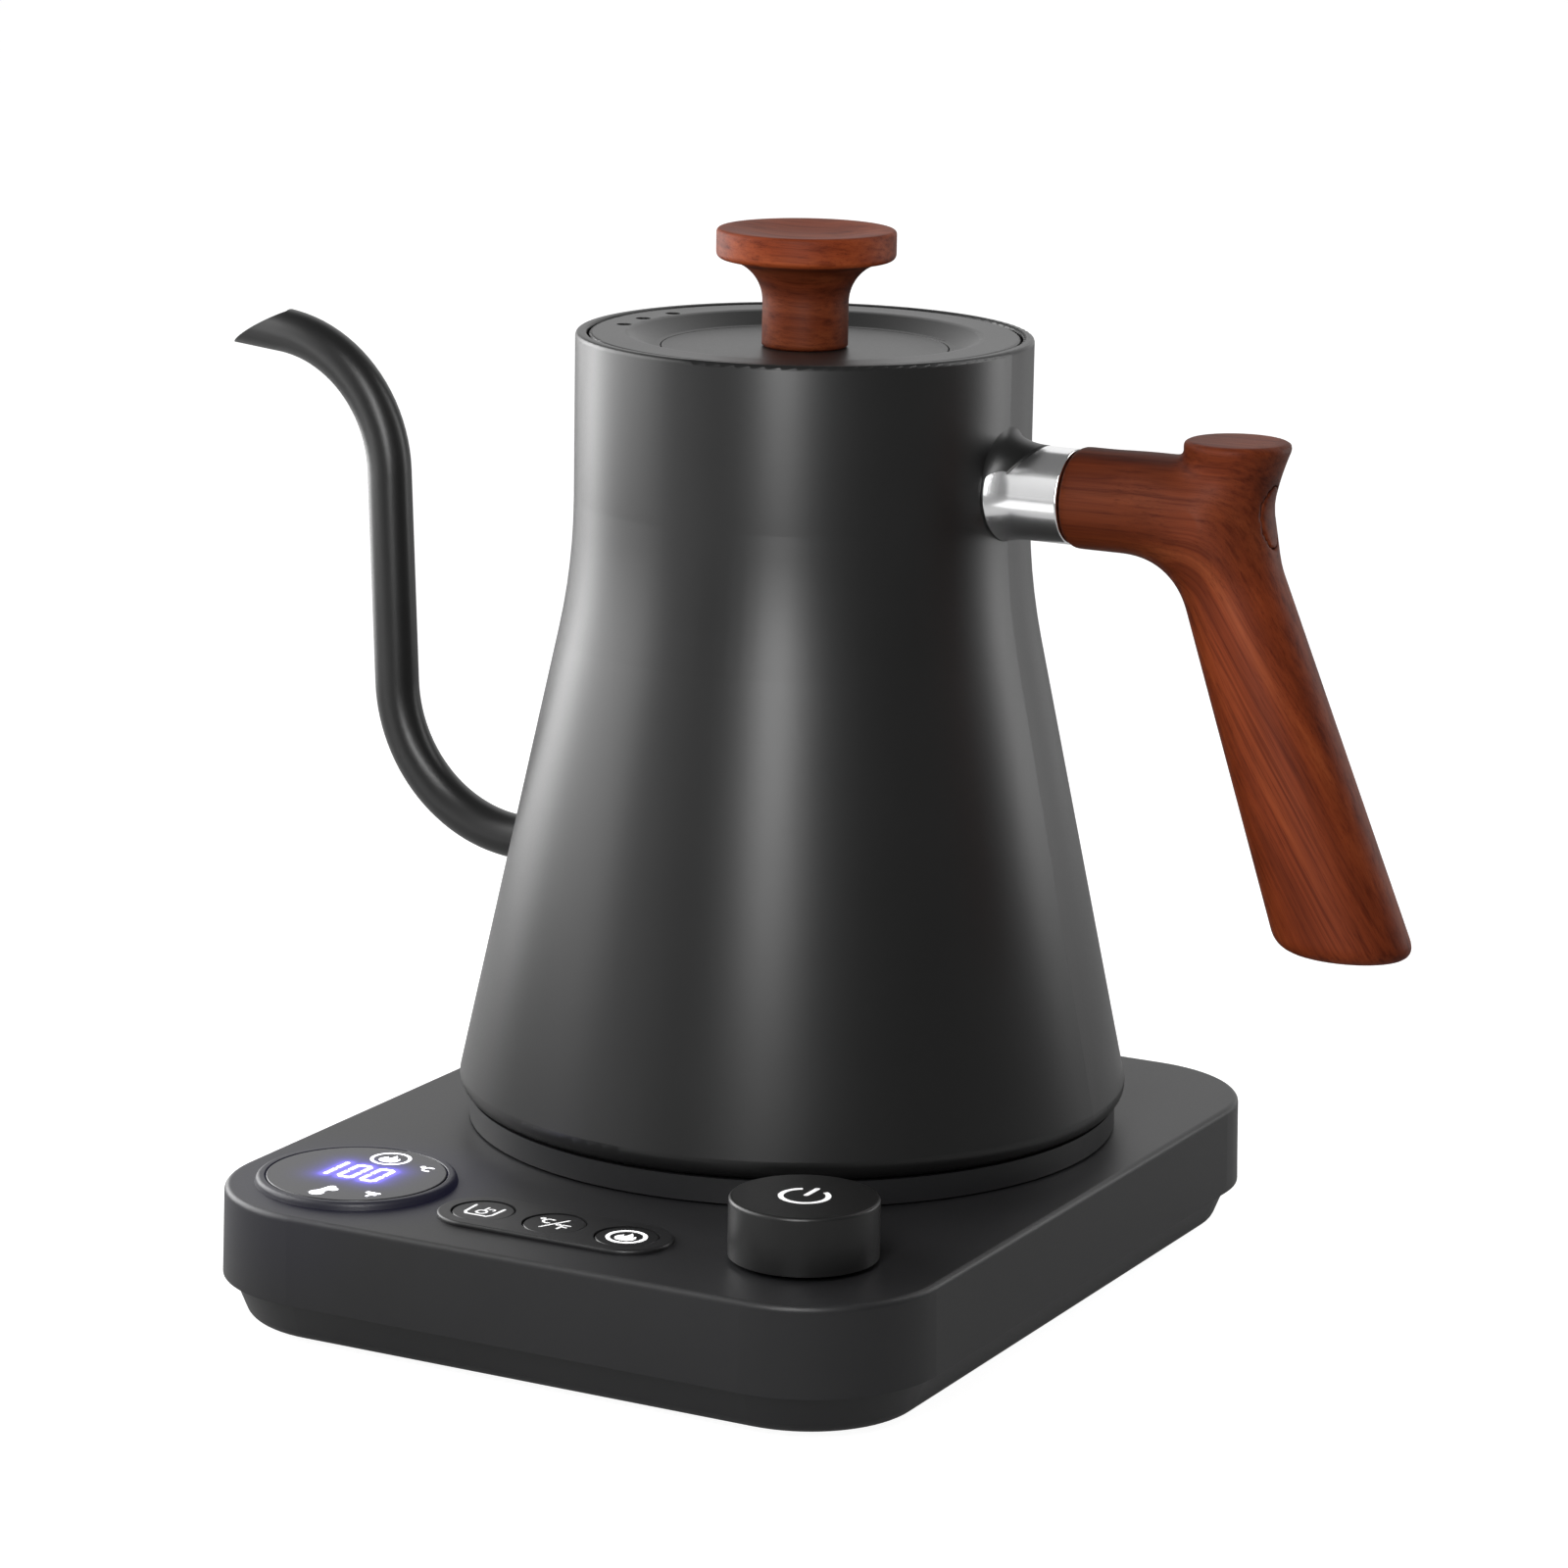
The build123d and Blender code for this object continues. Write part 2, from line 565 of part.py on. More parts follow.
with BuildPart() as kettle_body:
    with BuildSketch(SIDE):
        with BuildLine():
            FilletPolyline(*outer_points, radius=outer_radii)
            Line(outer_points[-1], inner_points[-1])
            FilletPolyline(*inner_points, radius=inner_radii)
            Line(inner_points[0], outer_points[0])
        make_face()
        # rolled lip with the ledge that carries the lid
        add(
            rounded_face(
                (NECK_R, RIM_Z, 0.9),
                (LIP_INNER, RIM_Z, 0.7),
                (LIP_INNER, LEDGE_TOP, 0),
                (LEDGE_R, LEDGE_TOP, 0.3),
                (LEDGE_R, LEDGE_TOP - 1.0, 0.3),
                (NECK_R - STEEL, LEDGE_TOP - 2.2, 0),
                (NECK_R, LEDGE_TOP - 2.2, 0),
            )
        )
    revolve(axis=KETTLE_AXIS)
    # hole where the spout's tube passes through the wall
    with BuildSketch(Plane.YZ.offset(-70.0)):
        with Locations((AXIS_Y, SPOUT_Z)):
            Circle(TUBE_R + SEAT)
    extrude(amount=20.0, mode=Mode.SUBTRACT)
kettle_body.part.label = "kettle_body"
export_step(kettle_body.part, "parts/kettle_body.step")

# ---------------------------------------------------------------- spout
BEND_CENTRE = (SPOUT_BEND_X, SPOUT_Z + SPOUT_BEND_R)
lean = radians(SPOUT_LEAN)
turn = radians(90.0 - SPOUT_LEAN)
riser_start = (
    BEND_CENTRE[0] - SPOUT_BEND_R * sin(turn),
    BEND_CENTRE[1] - SPOUT_BEND_R * cos(turn),
)
riser_end = (riser_start[0] - SPOUT_RISE * sin(lean), riser_start[1] + SPOUT_RISE * cos(lean))
crook_centre = (riser_end[0] - SPOUT_CROOK_R * cos(lean), riser_end[1] - SPOUT_CROOK_R * sin(lean))
mouth = radians(SPOUT_MOUTH_ANGLE)
crook_end = (crook_centre[0] + SPOUT_CROOK_R * sin(mouth), crook_centre[1] + SPOUT_CROOK_R * cos(mouth))
MOUTH_RUN = 18.0
mouth_end = (crook_end[0] - MOUTH_RUN * cos(mouth), crook_end[1] + MOUTH_RUN * sin(mouth))
SPOUT_START_X = -56.6

with BuildPart() as gooseneck_spout:
    with BuildLine(SIDE) as spout_path:
        Line((SPOUT_START_X, SPOUT_Z), (SPOUT_BEND_X, SPOUT_Z))
        CenterArc(BEND_CENTRE, SPOUT_BEND_R, 270.0, SPOUT_LEAN - 90.0)
        Line(riser_start, riser_end)
        CenterArc(crook_centre, SPOUT_CROOK_R, SPOUT_LEAN, 90.0 - SPOUT_MOUTH_ANGLE - SPOUT_LEAN)
        Line(crook_end, mouth_end)
    with BuildSketch(Plane(origin=(SPOUT_START_X, AXIS_Y, SPOUT_Z), z_dir=(-1, 0, 0))):
        Circle(TUBE_R)
        Circle(TUBE_BORE, mode=Mode.SUBTRACT)
    sweep(path=spout_path.wires()[0])
    # the slanted mouth: everything above a shallow curve from the crook to the lip is cut off
    cut_middle = (
        (SPOUT_TIP[0] + SPOUT_CUT_TOP[0]) / 2 - 0.15,
        (SPOUT_TIP[1] + SPOUT_CUT_TOP[1]) / 2 + 0.3,
    )
    with BuildSketch(SIDE):
        with BuildLine():
            ThreePointArc(SPOUT_CUT_TOP, cut_middle, SPOUT_TIP)
            Polyline(
                SPOUT_TIP,
                (SPOUT_TIP[0], SPOUT_TIP[1] - 12.0),
                (SPOUT_TIP[0] - 20.0, SPOUT_TIP[1] - 12.0),
                (SPOUT_TIP[0] - 20.0, SPOUT_TIP[1] + 30.0),
                (SPOUT_CUT_TOP[0], SPOUT_TIP[1] + 30.0),
                SPOUT_CUT_TOP,
            )
        make_face()
    extrude(amount=20.0, both=True, mode=Mode.SUBTRACT)
gooseneck_spout.part.label = "gooseneck_spout"
export_step(gooseneck_spout.part, "parts/gooseneck_spout.step")

# ---------------------------------------------------------------- heater under the water
PLATE_Z = BASE_TOP + 22.0
PLATE_T = 1.0
SENSOR_X = 26.0
SENSOR_R = 3.0
STUD_RING_R = 55.0
STUD_BOTTOM = BASE_TOP + 4.2
STUD_R = 2.6
STUD_BORE = 1.3
STUD_BORE_DEPTH = 10.0


def body_inside(z):
    """Radius that just clears the inside of the conical wall at height z."""
    return cone_radius(z) - 1.0225 * STEEL - SEAT


with BuildPart() as heater_plate:
    with BuildSketch(SIDE):
        with BuildLine():
            Polyline(
                (0, PLATE_Z),
                (body_inside(PLATE_Z), PLATE_Z),
                (body_inside(PLATE_Z + PLATE_T), PLATE_Z + PLATE_T),
                (0, PLATE_Z + PLATE_T),
                close=True,
            )
        make_face()
    revolve(axis=KETTLE_AXIS)
    with BuildSketch(level(PLATE_Z - 1.0, SENSOR_X, AXIS_Y)):
        Circle(SENSOR_R + SEAT)
    extrude(amount=PLATE_T + 2.0, mode=Mode.SUBTRACT)
heater_plate.part.label = "heater_plate"
export_step(heater_plate.part, "parts/heater_plate.step")

with BuildPart() as plate_studs:
    with BuildSketch(level(STUD_BOTTOM, 0, AXIS_Y)):
        with PolarLocations(STUD_RING_R, 3, start_angle=30):
            Circle(STUD_R)
            Circle(STUD_BORE, mode=Mode.SUBTRACT)
    extrude(amount=STUD_BORE_DEPTH)
    with BuildSketch(level(STUD_BOTTOM + STUD_BORE_DEPTH, 0, AXIS_Y)):
        with PolarLocations(STUD_RING_R, 3, start_angle=30):
            Circle(STUD_R)
    extrude(amount=PLATE_Z - STUD_BOTTOM - STUD_BORE_DEPTH)
plate_studs.part.label = "plate_studs"
export_step(plate_studs.part, "parts/plate_studs.step")

SPREADER_TOP = PLATE_Z - SEAT
SPREADER_T = 2.0

with BuildPart() as heat_spreader:
    with BuildSketch(level(SPREADER_TOP - SPREADER_T, 0, AXIS_Y)):
        Circle(50.0)
        with Locations((SENSOR_X, 0)):
            Circle(SENSOR_R + SEAT, mode=Mode.SUBTRACT)
    extrude(amount=SPREADER_T)
heat_spreader.part.label = "heat_spreader"
export_step(heat_spreader.part, "parts/heat_spreader.step")

ELEMENT_RING_R = 38.0
ELEMENT_TUBE_R = 3.2
ELEMENT_Z = SPREADER_TOP - SPREADER_T - ELEMENT_TUBE_R - SEAT
ELEMENT_SWEEP = 310.0

with BuildPart() as heating_element:
    with BuildSketch(SIDE):
        with Locations((ELEMENT_RING_R, ELEMENT_Z)):
            Circle(ELEMENT_TUBE_R)
    revolve(axis=KETTLE_AXIS, revolution_arc=ELEMENT_SWEEP)
    # cold pins at both ends
    for angle in (0.0, ELEMENT_SWEEP):
        end = (
            ELEMENT_RING_R * cos(radians(angle)),
            AXIS_Y + ELEMENT_RING_R * sin(radians(angle)),
        )
        with BuildSketch(level(ELEMENT_Z - 7.5, end[0], end[1])):
            Circle(1.4)
        extrude(amount=7.5)
heating_element.part.label = "heating_element"
export_step(heating_element.part, "parts/heating_element.step")

with BuildPart() as temperature_sensor:
    with BuildSketch(level(SPREADER_TOP - SPREADER_T - 6.0, SENSOR_X, AXIS_Y)):
        Circle(SENSOR_R)
    extrude(amount=14.0)
    fillet(temperature_sensor.faces().sort_by(Axis.Z)[-1].edges(), 1.5)
temperature_sensor.part.label = "temperature_sensor"
export_step(temperature_sensor.part, "parts/temperature_sensor.step")

with BuildPart() as dry_boil_cutout:
    with BuildSketch(level(SPREADER_TOP - SPREADER_T - SEAT - 4.5, -27.6, AXIS_Y)):
        Circle(6.4)
    extrude(amount=4.5)
    with BuildSketch(level(SPREADER_TOP - SPREADER_T - 9.0, -27.6, AXIS_Y)):
        with GridLocations(0, 7.0, 1, 2):
            Rectangle(0.8, 3.0)
    extrude(amount=5.0)
dry_boil_cutout.part.label = "dry_boil_cutout"
export_step(dry_boil_cutout.part, "parts/dry_boil_cutout.step")

# ---------------------------------------------------------------- underside of the kettle
SOCKET_R = 20.0
RING_BOTTOM = BASE_TOP + FOOT_RING_GAP
RING_FLOOR_TOP = BASE_TOP + 4.0

with BuildPart() as kettle_foot_ring:
    with BuildSketch(SIDE):
        with BuildLine():
            Polyline(
                (SOCKET_R + GAP, RING_BOTTOM + 1.6),
                (FOOT_RING_R - 3.0, RING_BOTTOM + 1.6),
                (FOOT_RING_R - 3.0, RING_BOTTOM),
                (FOOT_RING_R, RING_BOTTOM),
                (FOOT_RING_R, BODY_BOTTOM - 0.15),
                (FLANGE_BORE - 0.2, BODY_BOTTOM - 0.15),
                (FLANGE_BORE - 0.2, BODY_BOTTOM + 2.6),
                (FLANGE_BORE - 2.2, BODY_BOTTOM + 2.6),
                (FLANGE_BORE - 2.2, RING_FLOOR_TOP),
                (SOCKET_R + GAP, RING_FLOOR_TOP),
                close=True,
            )
        make_face()
    revolve(axis=KETTLE_AXIS)
    with BuildSketch(level(BASE_TOP, 0, AXIS_Y)):
        with PolarLocations(STUD_RING_R, 3, start_angle=30):
            Circle(1.5)
    extrude(amount=8.0, mode=Mode.SUBTRACT)
kettle_foot_ring.part.label = "kettle_foot_ring"
export_step(kettle_foot_ring.part, "parts/kettle_foot_ring.step")

with BuildPart() as bottom_screws:
    with BuildSketch(level(RING_BOTTOM + 0.5, 0, AXIS_Y)):
        with PolarLocations(STUD_RING_R, 3, start_angle=30):
            Circle(2.5)
    extrude(amount=1.05)
    with BuildSketch(level(RING_BOTTOM + 1.2, 0, AXIS_Y)):
        with PolarLocations(STUD_RING_R, 3, start_angle=30):
            Circle(1.25)
    extrude(amount=9.0)
bottom_screws.part.label = "bottom_screws"
export_step(bottom_screws.part, "parts/bottom_screws.step")

SOCKET_BOTTOM = BASE_TOP + 0.9
SOCKET_ROOF = TOWER_TOP + 0.5
SOCKET_TOP = BASE_TOP + 17.0

with BuildPart() as kettle_socket:
    with BuildSketch(SIDE):
        ring_profile(0, SOCKET_R, SOCKET_ROOF, SOCKET_TOP)
        ring_profile(TOWER_R + 0.6, SOCKET_R, SOCKET_BOTTOM, SOCKET_TOP)
    revolve(axis=KETTLE_AXIS)
    chamfer(kettle_socket.edges().group_by(Axis.Z)[0], 0.4)
kettle_socket.part.label = "kettle_socket"
export_step(kettle_socket.part, "parts/kettle_socket.step")

with BuildPart() as socket_contacts:
    for inner, outer in GROOVES:
        with BuildSketch(SIDE):
            ring_profile(inner + 0.9, outer - 0.9, GROOVE_FLOOR + 1.5, SOCKET_ROOF - SEAT)
        revolve(axis=KETTLE_AXIS)
    with BuildSketch(SIDE):
        ring_profile(0, 1.6, GROOVE_FLOOR + 1.5, SOCKET_ROOF - SEAT)
    revolve(axis=KETTLE_AXIS)
socket_contacts.part.label = "socket_contacts"
export_step(socket_contacts.part, "parts/socket_contacts.step")

# ---------------------------------------------------------------- handle
BRACKET_R = 5.0
BRACKET_END = 84.0
SCREW_SEAT = 87.0
PLUG_START = 90.5
PLUG_FACE = 99.9
NECK_CLEAR = NECK_R + 0.2            # the saddle also spans the top of the neck's blend


def arm_profile(*outline):
    """Closed outline of (X, radius) points about the arm's axis, for a turned piece."""
    with BuildLine() as side:
        Polyline(*[(x, ARM_Z + radius) for x, radius in outline], close=True)
    make_face(side.edges())


with BuildPart() as handle_collar:
    with BuildSketch(SIDE):
        with BuildLine():
            Line((36.0, ARM_Z + BRACKET_R + 0.1), (ARM_START - 0.1, ARM_Z + BRACKET_R + 0.1))
            Line((ARM_START - 0.1, ARM_Z + BRACKET_R + 0.1), (ARM_START - 0.1, ARM_Z + COLLAR_R))
            Line((ARM_START - 0.1, ARM_Z + COLLAR_R), (48.6, ARM_Z + COLLAR_R))
            TangentArc((48.6, ARM_Z + COLLAR_R), (44.4, ARM_Z + COLLAR_FLARE), tangent=(-1, 0))
            Line((44.4, ARM_Z + COLLAR_FLARE), (36.0, ARM_Z + COLLAR_FLARE))
            Line((36.0, ARM_Z + COLLAR_FLARE), (36.0, ARM_Z + BRACKET_R + 0.1))
        make_face()
    revolve(axis=ARM_AXIS)
    # saddle that fits the round neck
    with BuildSketch(level(ARM_Z - 20.0, 0, AXIS_Y)):
        Circle(NECK_CLEAR)
    extrude(amount=40.0, mode=Mode.SUBTRACT)
handle_collar.part.label = "handle_collar"
export_step(handle_collar.part, "parts/handle_collar.step")

with BuildPart() as handle_bracket:
    with BuildSketch(SIDE):
        arm_profile((36.0, 0), (BRACKET_END, 0), (BRACKET_END, BRACKET_R), (36.0, BRACKET_R))
    revolve(axis=ARM_AXIS)
    with BuildSketch(level(ARM_Z - 20.0, 0, AXIS_Y)):
        Circle(NECK_CLEAR)
    extrude(amount=40.0, mode=Mode.SUBTRACT)
    with BuildSketch(Plane.YZ.offset(BRACKET_END)):
        with Locations((AXIS_Y, ARM_Z)):
            Circle(2.0)
    extrude(amount=-18.0, mode=Mode.SUBTRACT)
handle_bracket.part.label = "handle_bracket"
export_step(handle_bracket.part, "parts/handle_bracket.step")

with BuildPart() as handle_screw:
    with BuildSketch(SIDE):
        arm_profile(
            (BRACKET_END - 16.0, 0),
            (PLUG_START - 0.4, 0),
            (PLUG_START - 0.4, 4.2),
            (SCREW_SEAT + SEAT, 4.2),
            (SCREW_SEAT + SEAT, 2.0 - SEAT),
            (BRACKET_END - 16.0, 2.0 - SEAT),
        )
    revolve(axis=ARM_AXIS)
    with BuildSketch(Plane.YZ.offset(PLUG_START - 0.4)):
        with Locations((AXIS_Y, ARM_Z)):
            RegularPolygon(2.2, 6)
    extrude(amount=-1.8, mode=Mode.SUBTRACT)
handle_screw.part.label = "handle_screw"
export_step(handle_screw.part, "parts/handle_screw.step")

LEG_TOP_Z = ARM_Z - 2.0

with BuildPart() as handle_grip:
    # round arm
    with BuildSketch(Plane.YZ.offset(ARM_START)):
        with Locations((AXIS_Y, ARM_Z)):
            Circle(ARM_R)
    extrude(amount=REST_X - ARM_START)
    fillet(handle_grip.faces().sort_by(Axis.X)[0].edges(), 0.9)
    # leg: an oval bar that leans outwards and thickens downwards
    with BuildSketch(level(LEG_BOTTOM, LEG_END_X, AXIS_Y)):
        Ellipse(LEG_END_A, LEG_END_B)
    with BuildSketch(level(LEG_TOP_Z, LEG_TOP_X, AXIS_Y)):
        Ellipse(LEG_TOP_A, LEG_TOP_B)
    loft()
    fillet(handle_grip.faces().sort_by(Axis.Z)[0].edges(), 2.6)
    # thumb rest: a waisted round boss with a flat top
    with BuildSketch(Plane.XZ.offset(-AXIS_Y) * Pos(REST_X, 0)):
        with BuildLine():
            Line((0, ARM_Z - 7.0), (REST_WAIST, ARM_Z - 7.0))
            Line((REST_WAIST, ARM_Z - 7.0), (REST_WAIST, ARM_Z + 2.0))
            TangentArc((REST_WAIST, ARM_Z + 2.0), (REST_R, REST_TOP - 1.2), tangent=(0, 1))
            Line((REST_R, REST_TOP - 1.2), (REST_R - 0.8, REST_TOP))
            Line((REST_R - 0.8, REST_TOP), (0, REST_TOP))
            Line((0, REST_TOP), (0, ARM_Z - 7.0))
        make_face()
    revolve(axis=Axis((REST_X, AXIS_Y, 0), (0, 0, 1)))
    # bore for the bracket, clearance for the screw and the seat of the rear plug
    for start, end, radius in (
        (ARM_START - 1.0, BRACKET_END + 0.2, BRACKET_R + SEAT),
        (BRACKET_END - 1.0, SCREW_SEAT + 1.0, 2.3),
        (SCREW_SEAT, REST_X + 20.0, PLUG_R + SEAT),
    ):
        with BuildSketch(Plane.YZ.offset(start)):
            with Locations((AXIS_Y, ARM_Z)):
                Circle(radius)
        extrude(amount=end - start, mode=Mode.SUBTRACT)
handle_grip.part.label = "handle_grip"
export_step(handle_grip.part, "parts/handle_grip.step")

with BuildPart() as handle_plug:
    with BuildSketch(Plane.YZ.offset(PLUG_START)):
        with Locations((AXIS_Y, ARM_Z)):
            Circle(PLUG_R)
    extrude(amount=PLUG_FACE - PLUG_START)
    chamfer(handle_plug.faces().sort_by(Axis.X)[-1].edges(), 0.4)
handle_plug.part.label = "handle_plug"
export_step(handle_plug.part, "parts/handle_plug.step")


# ================================================================ LID
DISH_FLOOR = LID_TOP - LID_DISH
LID_FLANGE_BOTTOM = LEDGE_TOP + 0.2
SKIRT_R = 40.3
SKIRT_BOTTOM = BASE_TOP + 143.0
DISC_SEAT = DISH_FLOOR - 1.0
LID_SCREW_R = 2.0

with BuildPart() as lid_cover:
    with BuildSketch(SIDE):
        add(
            rounded_face(
                (26.0, DISC_SEAT - SEAT, 0),
                (LID_DISC_R + 0.15, DISC_SEAT - SEAT, 0),
                (LID_DISC_R + 0.15, DISH_FLOOR, 0.15),
                (LID_DISC_R + 1.0, DISH_FLOOR, 1.6),
                (34.4, LID_TOP, 3.0),
                (LID_R, LID_TOP, 0.7),
                (LID_R, LID_FLANGE_BOTTOM, 0),
                (34.8, LID_FLANGE_BOTTOM, 1.5),
                (29.6, DISC_SEAT - 1.0, 1.0),
                (26.0, DISC_SEAT - 1.0, 0),
            )
        )
    revolve(axis=KETTLE_AXIS)
    # steam vents on the spout's side
    with BuildSketch(level(LID_FLANGE_BOTTOM - 2.0, 0, AXIS_Y)):
        with PolarLocations(VENT_RING_R, 3, start_angle=164.0, angular_range=30.0, endpoint=True):
            Circle(VENT_R)
    extrude(amount=6.0, mode=Mode.SUBTRACT)
lid_cover.part.label = "lid_cover"
export_step(lid_cover.part, "parts/lid_cover.step")

with BuildPart() as lid_disc:
    with BuildSketch(level(DISC_SEAT, 0, AXIS_Y)):
        Circle(LID_DISC_R)
        Circle(LID_SCREW_R + 0.2, mode=Mode.SUBTRACT)
    extrude(amount=DISH_FLOOR - DISC_SEAT)
    fillet(lid_disc.faces().sort_by(Axis.Z)[-1].edges().sort_by(SortBy.LENGTH)[-1], 0.2)
lid_disc.part.label = "lid_disc"
export_step(lid_disc.part, "parts/lid_disc.step")

with BuildPart() as lid_skirt:
    with BuildSketch(SIDE):
        ring_profile(38.5, SKIRT_R, SKIRT_BOTTOM, LID_FLANGE_BOTTOM - SEAT)
        ring_profile(6.0, SKIRT_R, SKIRT_BOTTOM, SKIRT_BOTTOM + 1.4)
    revolve(axis=KETTLE_AXIS)
    # steam slots in the skirt's floor and the groove that holds the seal
    with BuildSketch(level(SKIRT_BOTTOM - 1.0, 0, AXIS_Y)):
        with PolarLocations(28.0, 12):
            SlotOverall(9.0, 3.0, rotation=0)
    extrude(amount=4.0, mode=Mode.SUBTRACT)
    with BuildSketch(SIDE):
        ring_profile(SKIRT_R - 0.8, SKIRT_R + 1.0, SKIRT_BOTTOM + 4.0, SKIRT_BOTTOM + 9.0)
    revolve(axis=KETTLE_AXIS, mode=Mode.SUBTRACT)
lid_skirt.part.label = "lid_skirt"
export_step(lid_skirt.part, "parts/lid_skirt.step")

with BuildPart() as lid_seal:
    with BuildSketch(SIDE):
        ring_profile(SKIRT_R - 0.75, SKIRT_R, SKIRT_BOTTOM + 4.05, SKIRT_BOTTOM + 8.95)
        for lip_z in (SKIRT_BOTTOM + 4.6, SKIRT_BOTTOM + 7.4):
            ring_profile(SKIRT_R - 0.1, LEDGE_R - GAP, lip_z, lip_z + 1.0)
    revolve(axis=KETTLE_AXIS)
lid_seal.part.label = "lid_seal"
export_step(lid_seal.part, "parts/lid_seal.step")

KNOB_UNDER_Z = BASE_TOP + 171.0

with BuildPart() as lid_knob:
    with BuildSketch(SIDE):
        add(
            rounded_face(
                (0, DISH_FLOOR + SEAT, 0),
                (LID_STEM_R, DISH_FLOOR + SEAT, 0.3),
                (LID_STEM_R, KNOB_UNDER_Z - 1.5, 7.5),
                (LID_KNOB_R, KNOB_UNDER_Z + 1.5, 1.4),
                (LID_KNOB_R, LID_KNOB_TOP, 0.5),
                (LID_KNOB_R - 1.0, LID_KNOB_TOP, 0.5),
                (9.0, LID_KNOB_TOP - 1.4, 25.0),
                (0, LID_KNOB_TOP - 1.4, 0),
            )
        )
    revolve(axis=KETTLE_AXIS)
    with BuildSketch(level(DISH_FLOOR - 1.0, 0, AXIS_Y)):
        Circle(LID_SCREW_R)
    extrude(amount=12.0, mode=Mode.SUBTRACT)
lid_knob.part.label = "lid_knob"
export_step(lid_knob.part, "parts/lid_knob.step")

with BuildPart() as lid_knob_screw:
    with BuildSketch(level(DISC_SEAT - SEAT - 2.0, 0, AXIS_Y)):
        Circle(4.0)
    extrude(amount=2.0)
    with BuildSketch(level(DISC_SEAT - SEAT - 0.5, 0, AXIS_Y)):
        Circle(LID_SCREW_R - SEAT)
    extrude(amount=11.0)
lid_knob_screw.part.label = "lid_knob_screw"
export_step(lid_knob_screw.part, "parts/lid_knob_screw.step")
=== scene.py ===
"""Looks of the gooseneck kettle on its control base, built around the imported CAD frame.

Metres, in the row frame: origin on the table at the base's centre, +Z up, +X to the handle,
-X to the spout, -Y to the control panel. Shapes are given in millimetres times MM.
"""

import json
from math import atan2, cos, hypot, pi, radians, sin

import bpy
import numpy as np
import openvdb
from mathutils import Matrix, Vector


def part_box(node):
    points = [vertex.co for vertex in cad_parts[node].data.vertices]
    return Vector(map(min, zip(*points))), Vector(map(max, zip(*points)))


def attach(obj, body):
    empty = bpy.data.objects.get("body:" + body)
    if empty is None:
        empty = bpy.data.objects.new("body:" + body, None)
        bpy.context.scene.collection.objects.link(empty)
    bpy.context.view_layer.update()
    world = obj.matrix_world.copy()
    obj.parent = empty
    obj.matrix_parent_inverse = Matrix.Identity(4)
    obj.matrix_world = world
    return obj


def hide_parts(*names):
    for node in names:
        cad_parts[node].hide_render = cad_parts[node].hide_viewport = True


MM = 0.001

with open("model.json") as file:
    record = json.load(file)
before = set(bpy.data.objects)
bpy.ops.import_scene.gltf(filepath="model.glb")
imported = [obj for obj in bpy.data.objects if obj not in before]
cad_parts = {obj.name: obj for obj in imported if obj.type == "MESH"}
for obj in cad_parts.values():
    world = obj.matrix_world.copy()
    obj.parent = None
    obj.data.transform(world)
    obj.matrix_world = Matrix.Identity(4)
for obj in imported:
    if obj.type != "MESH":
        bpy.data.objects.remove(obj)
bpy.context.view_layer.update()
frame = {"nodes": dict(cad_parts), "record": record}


def centre(node):
    """Middle of a CAD node's box."""
    low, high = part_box(node)
    return (low + high) / 2


# ---------------------------------------------------------------- places taken from the frame
KETTLE_AXIS = centre("kettle_body")
DISPLAY = centre("display_window")
GRIP_LOW, GRIP_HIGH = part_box("handle_grip")
COLLAR_LOW, COLLAR_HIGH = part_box("handle_collar")
PLUG_LOW, PLUG_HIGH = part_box("handle_plug")
PLUG_R = (PLUG_HIGH.y - PLUG_LOW.y) / 2
ARM_Z = centre("handle_plug").z


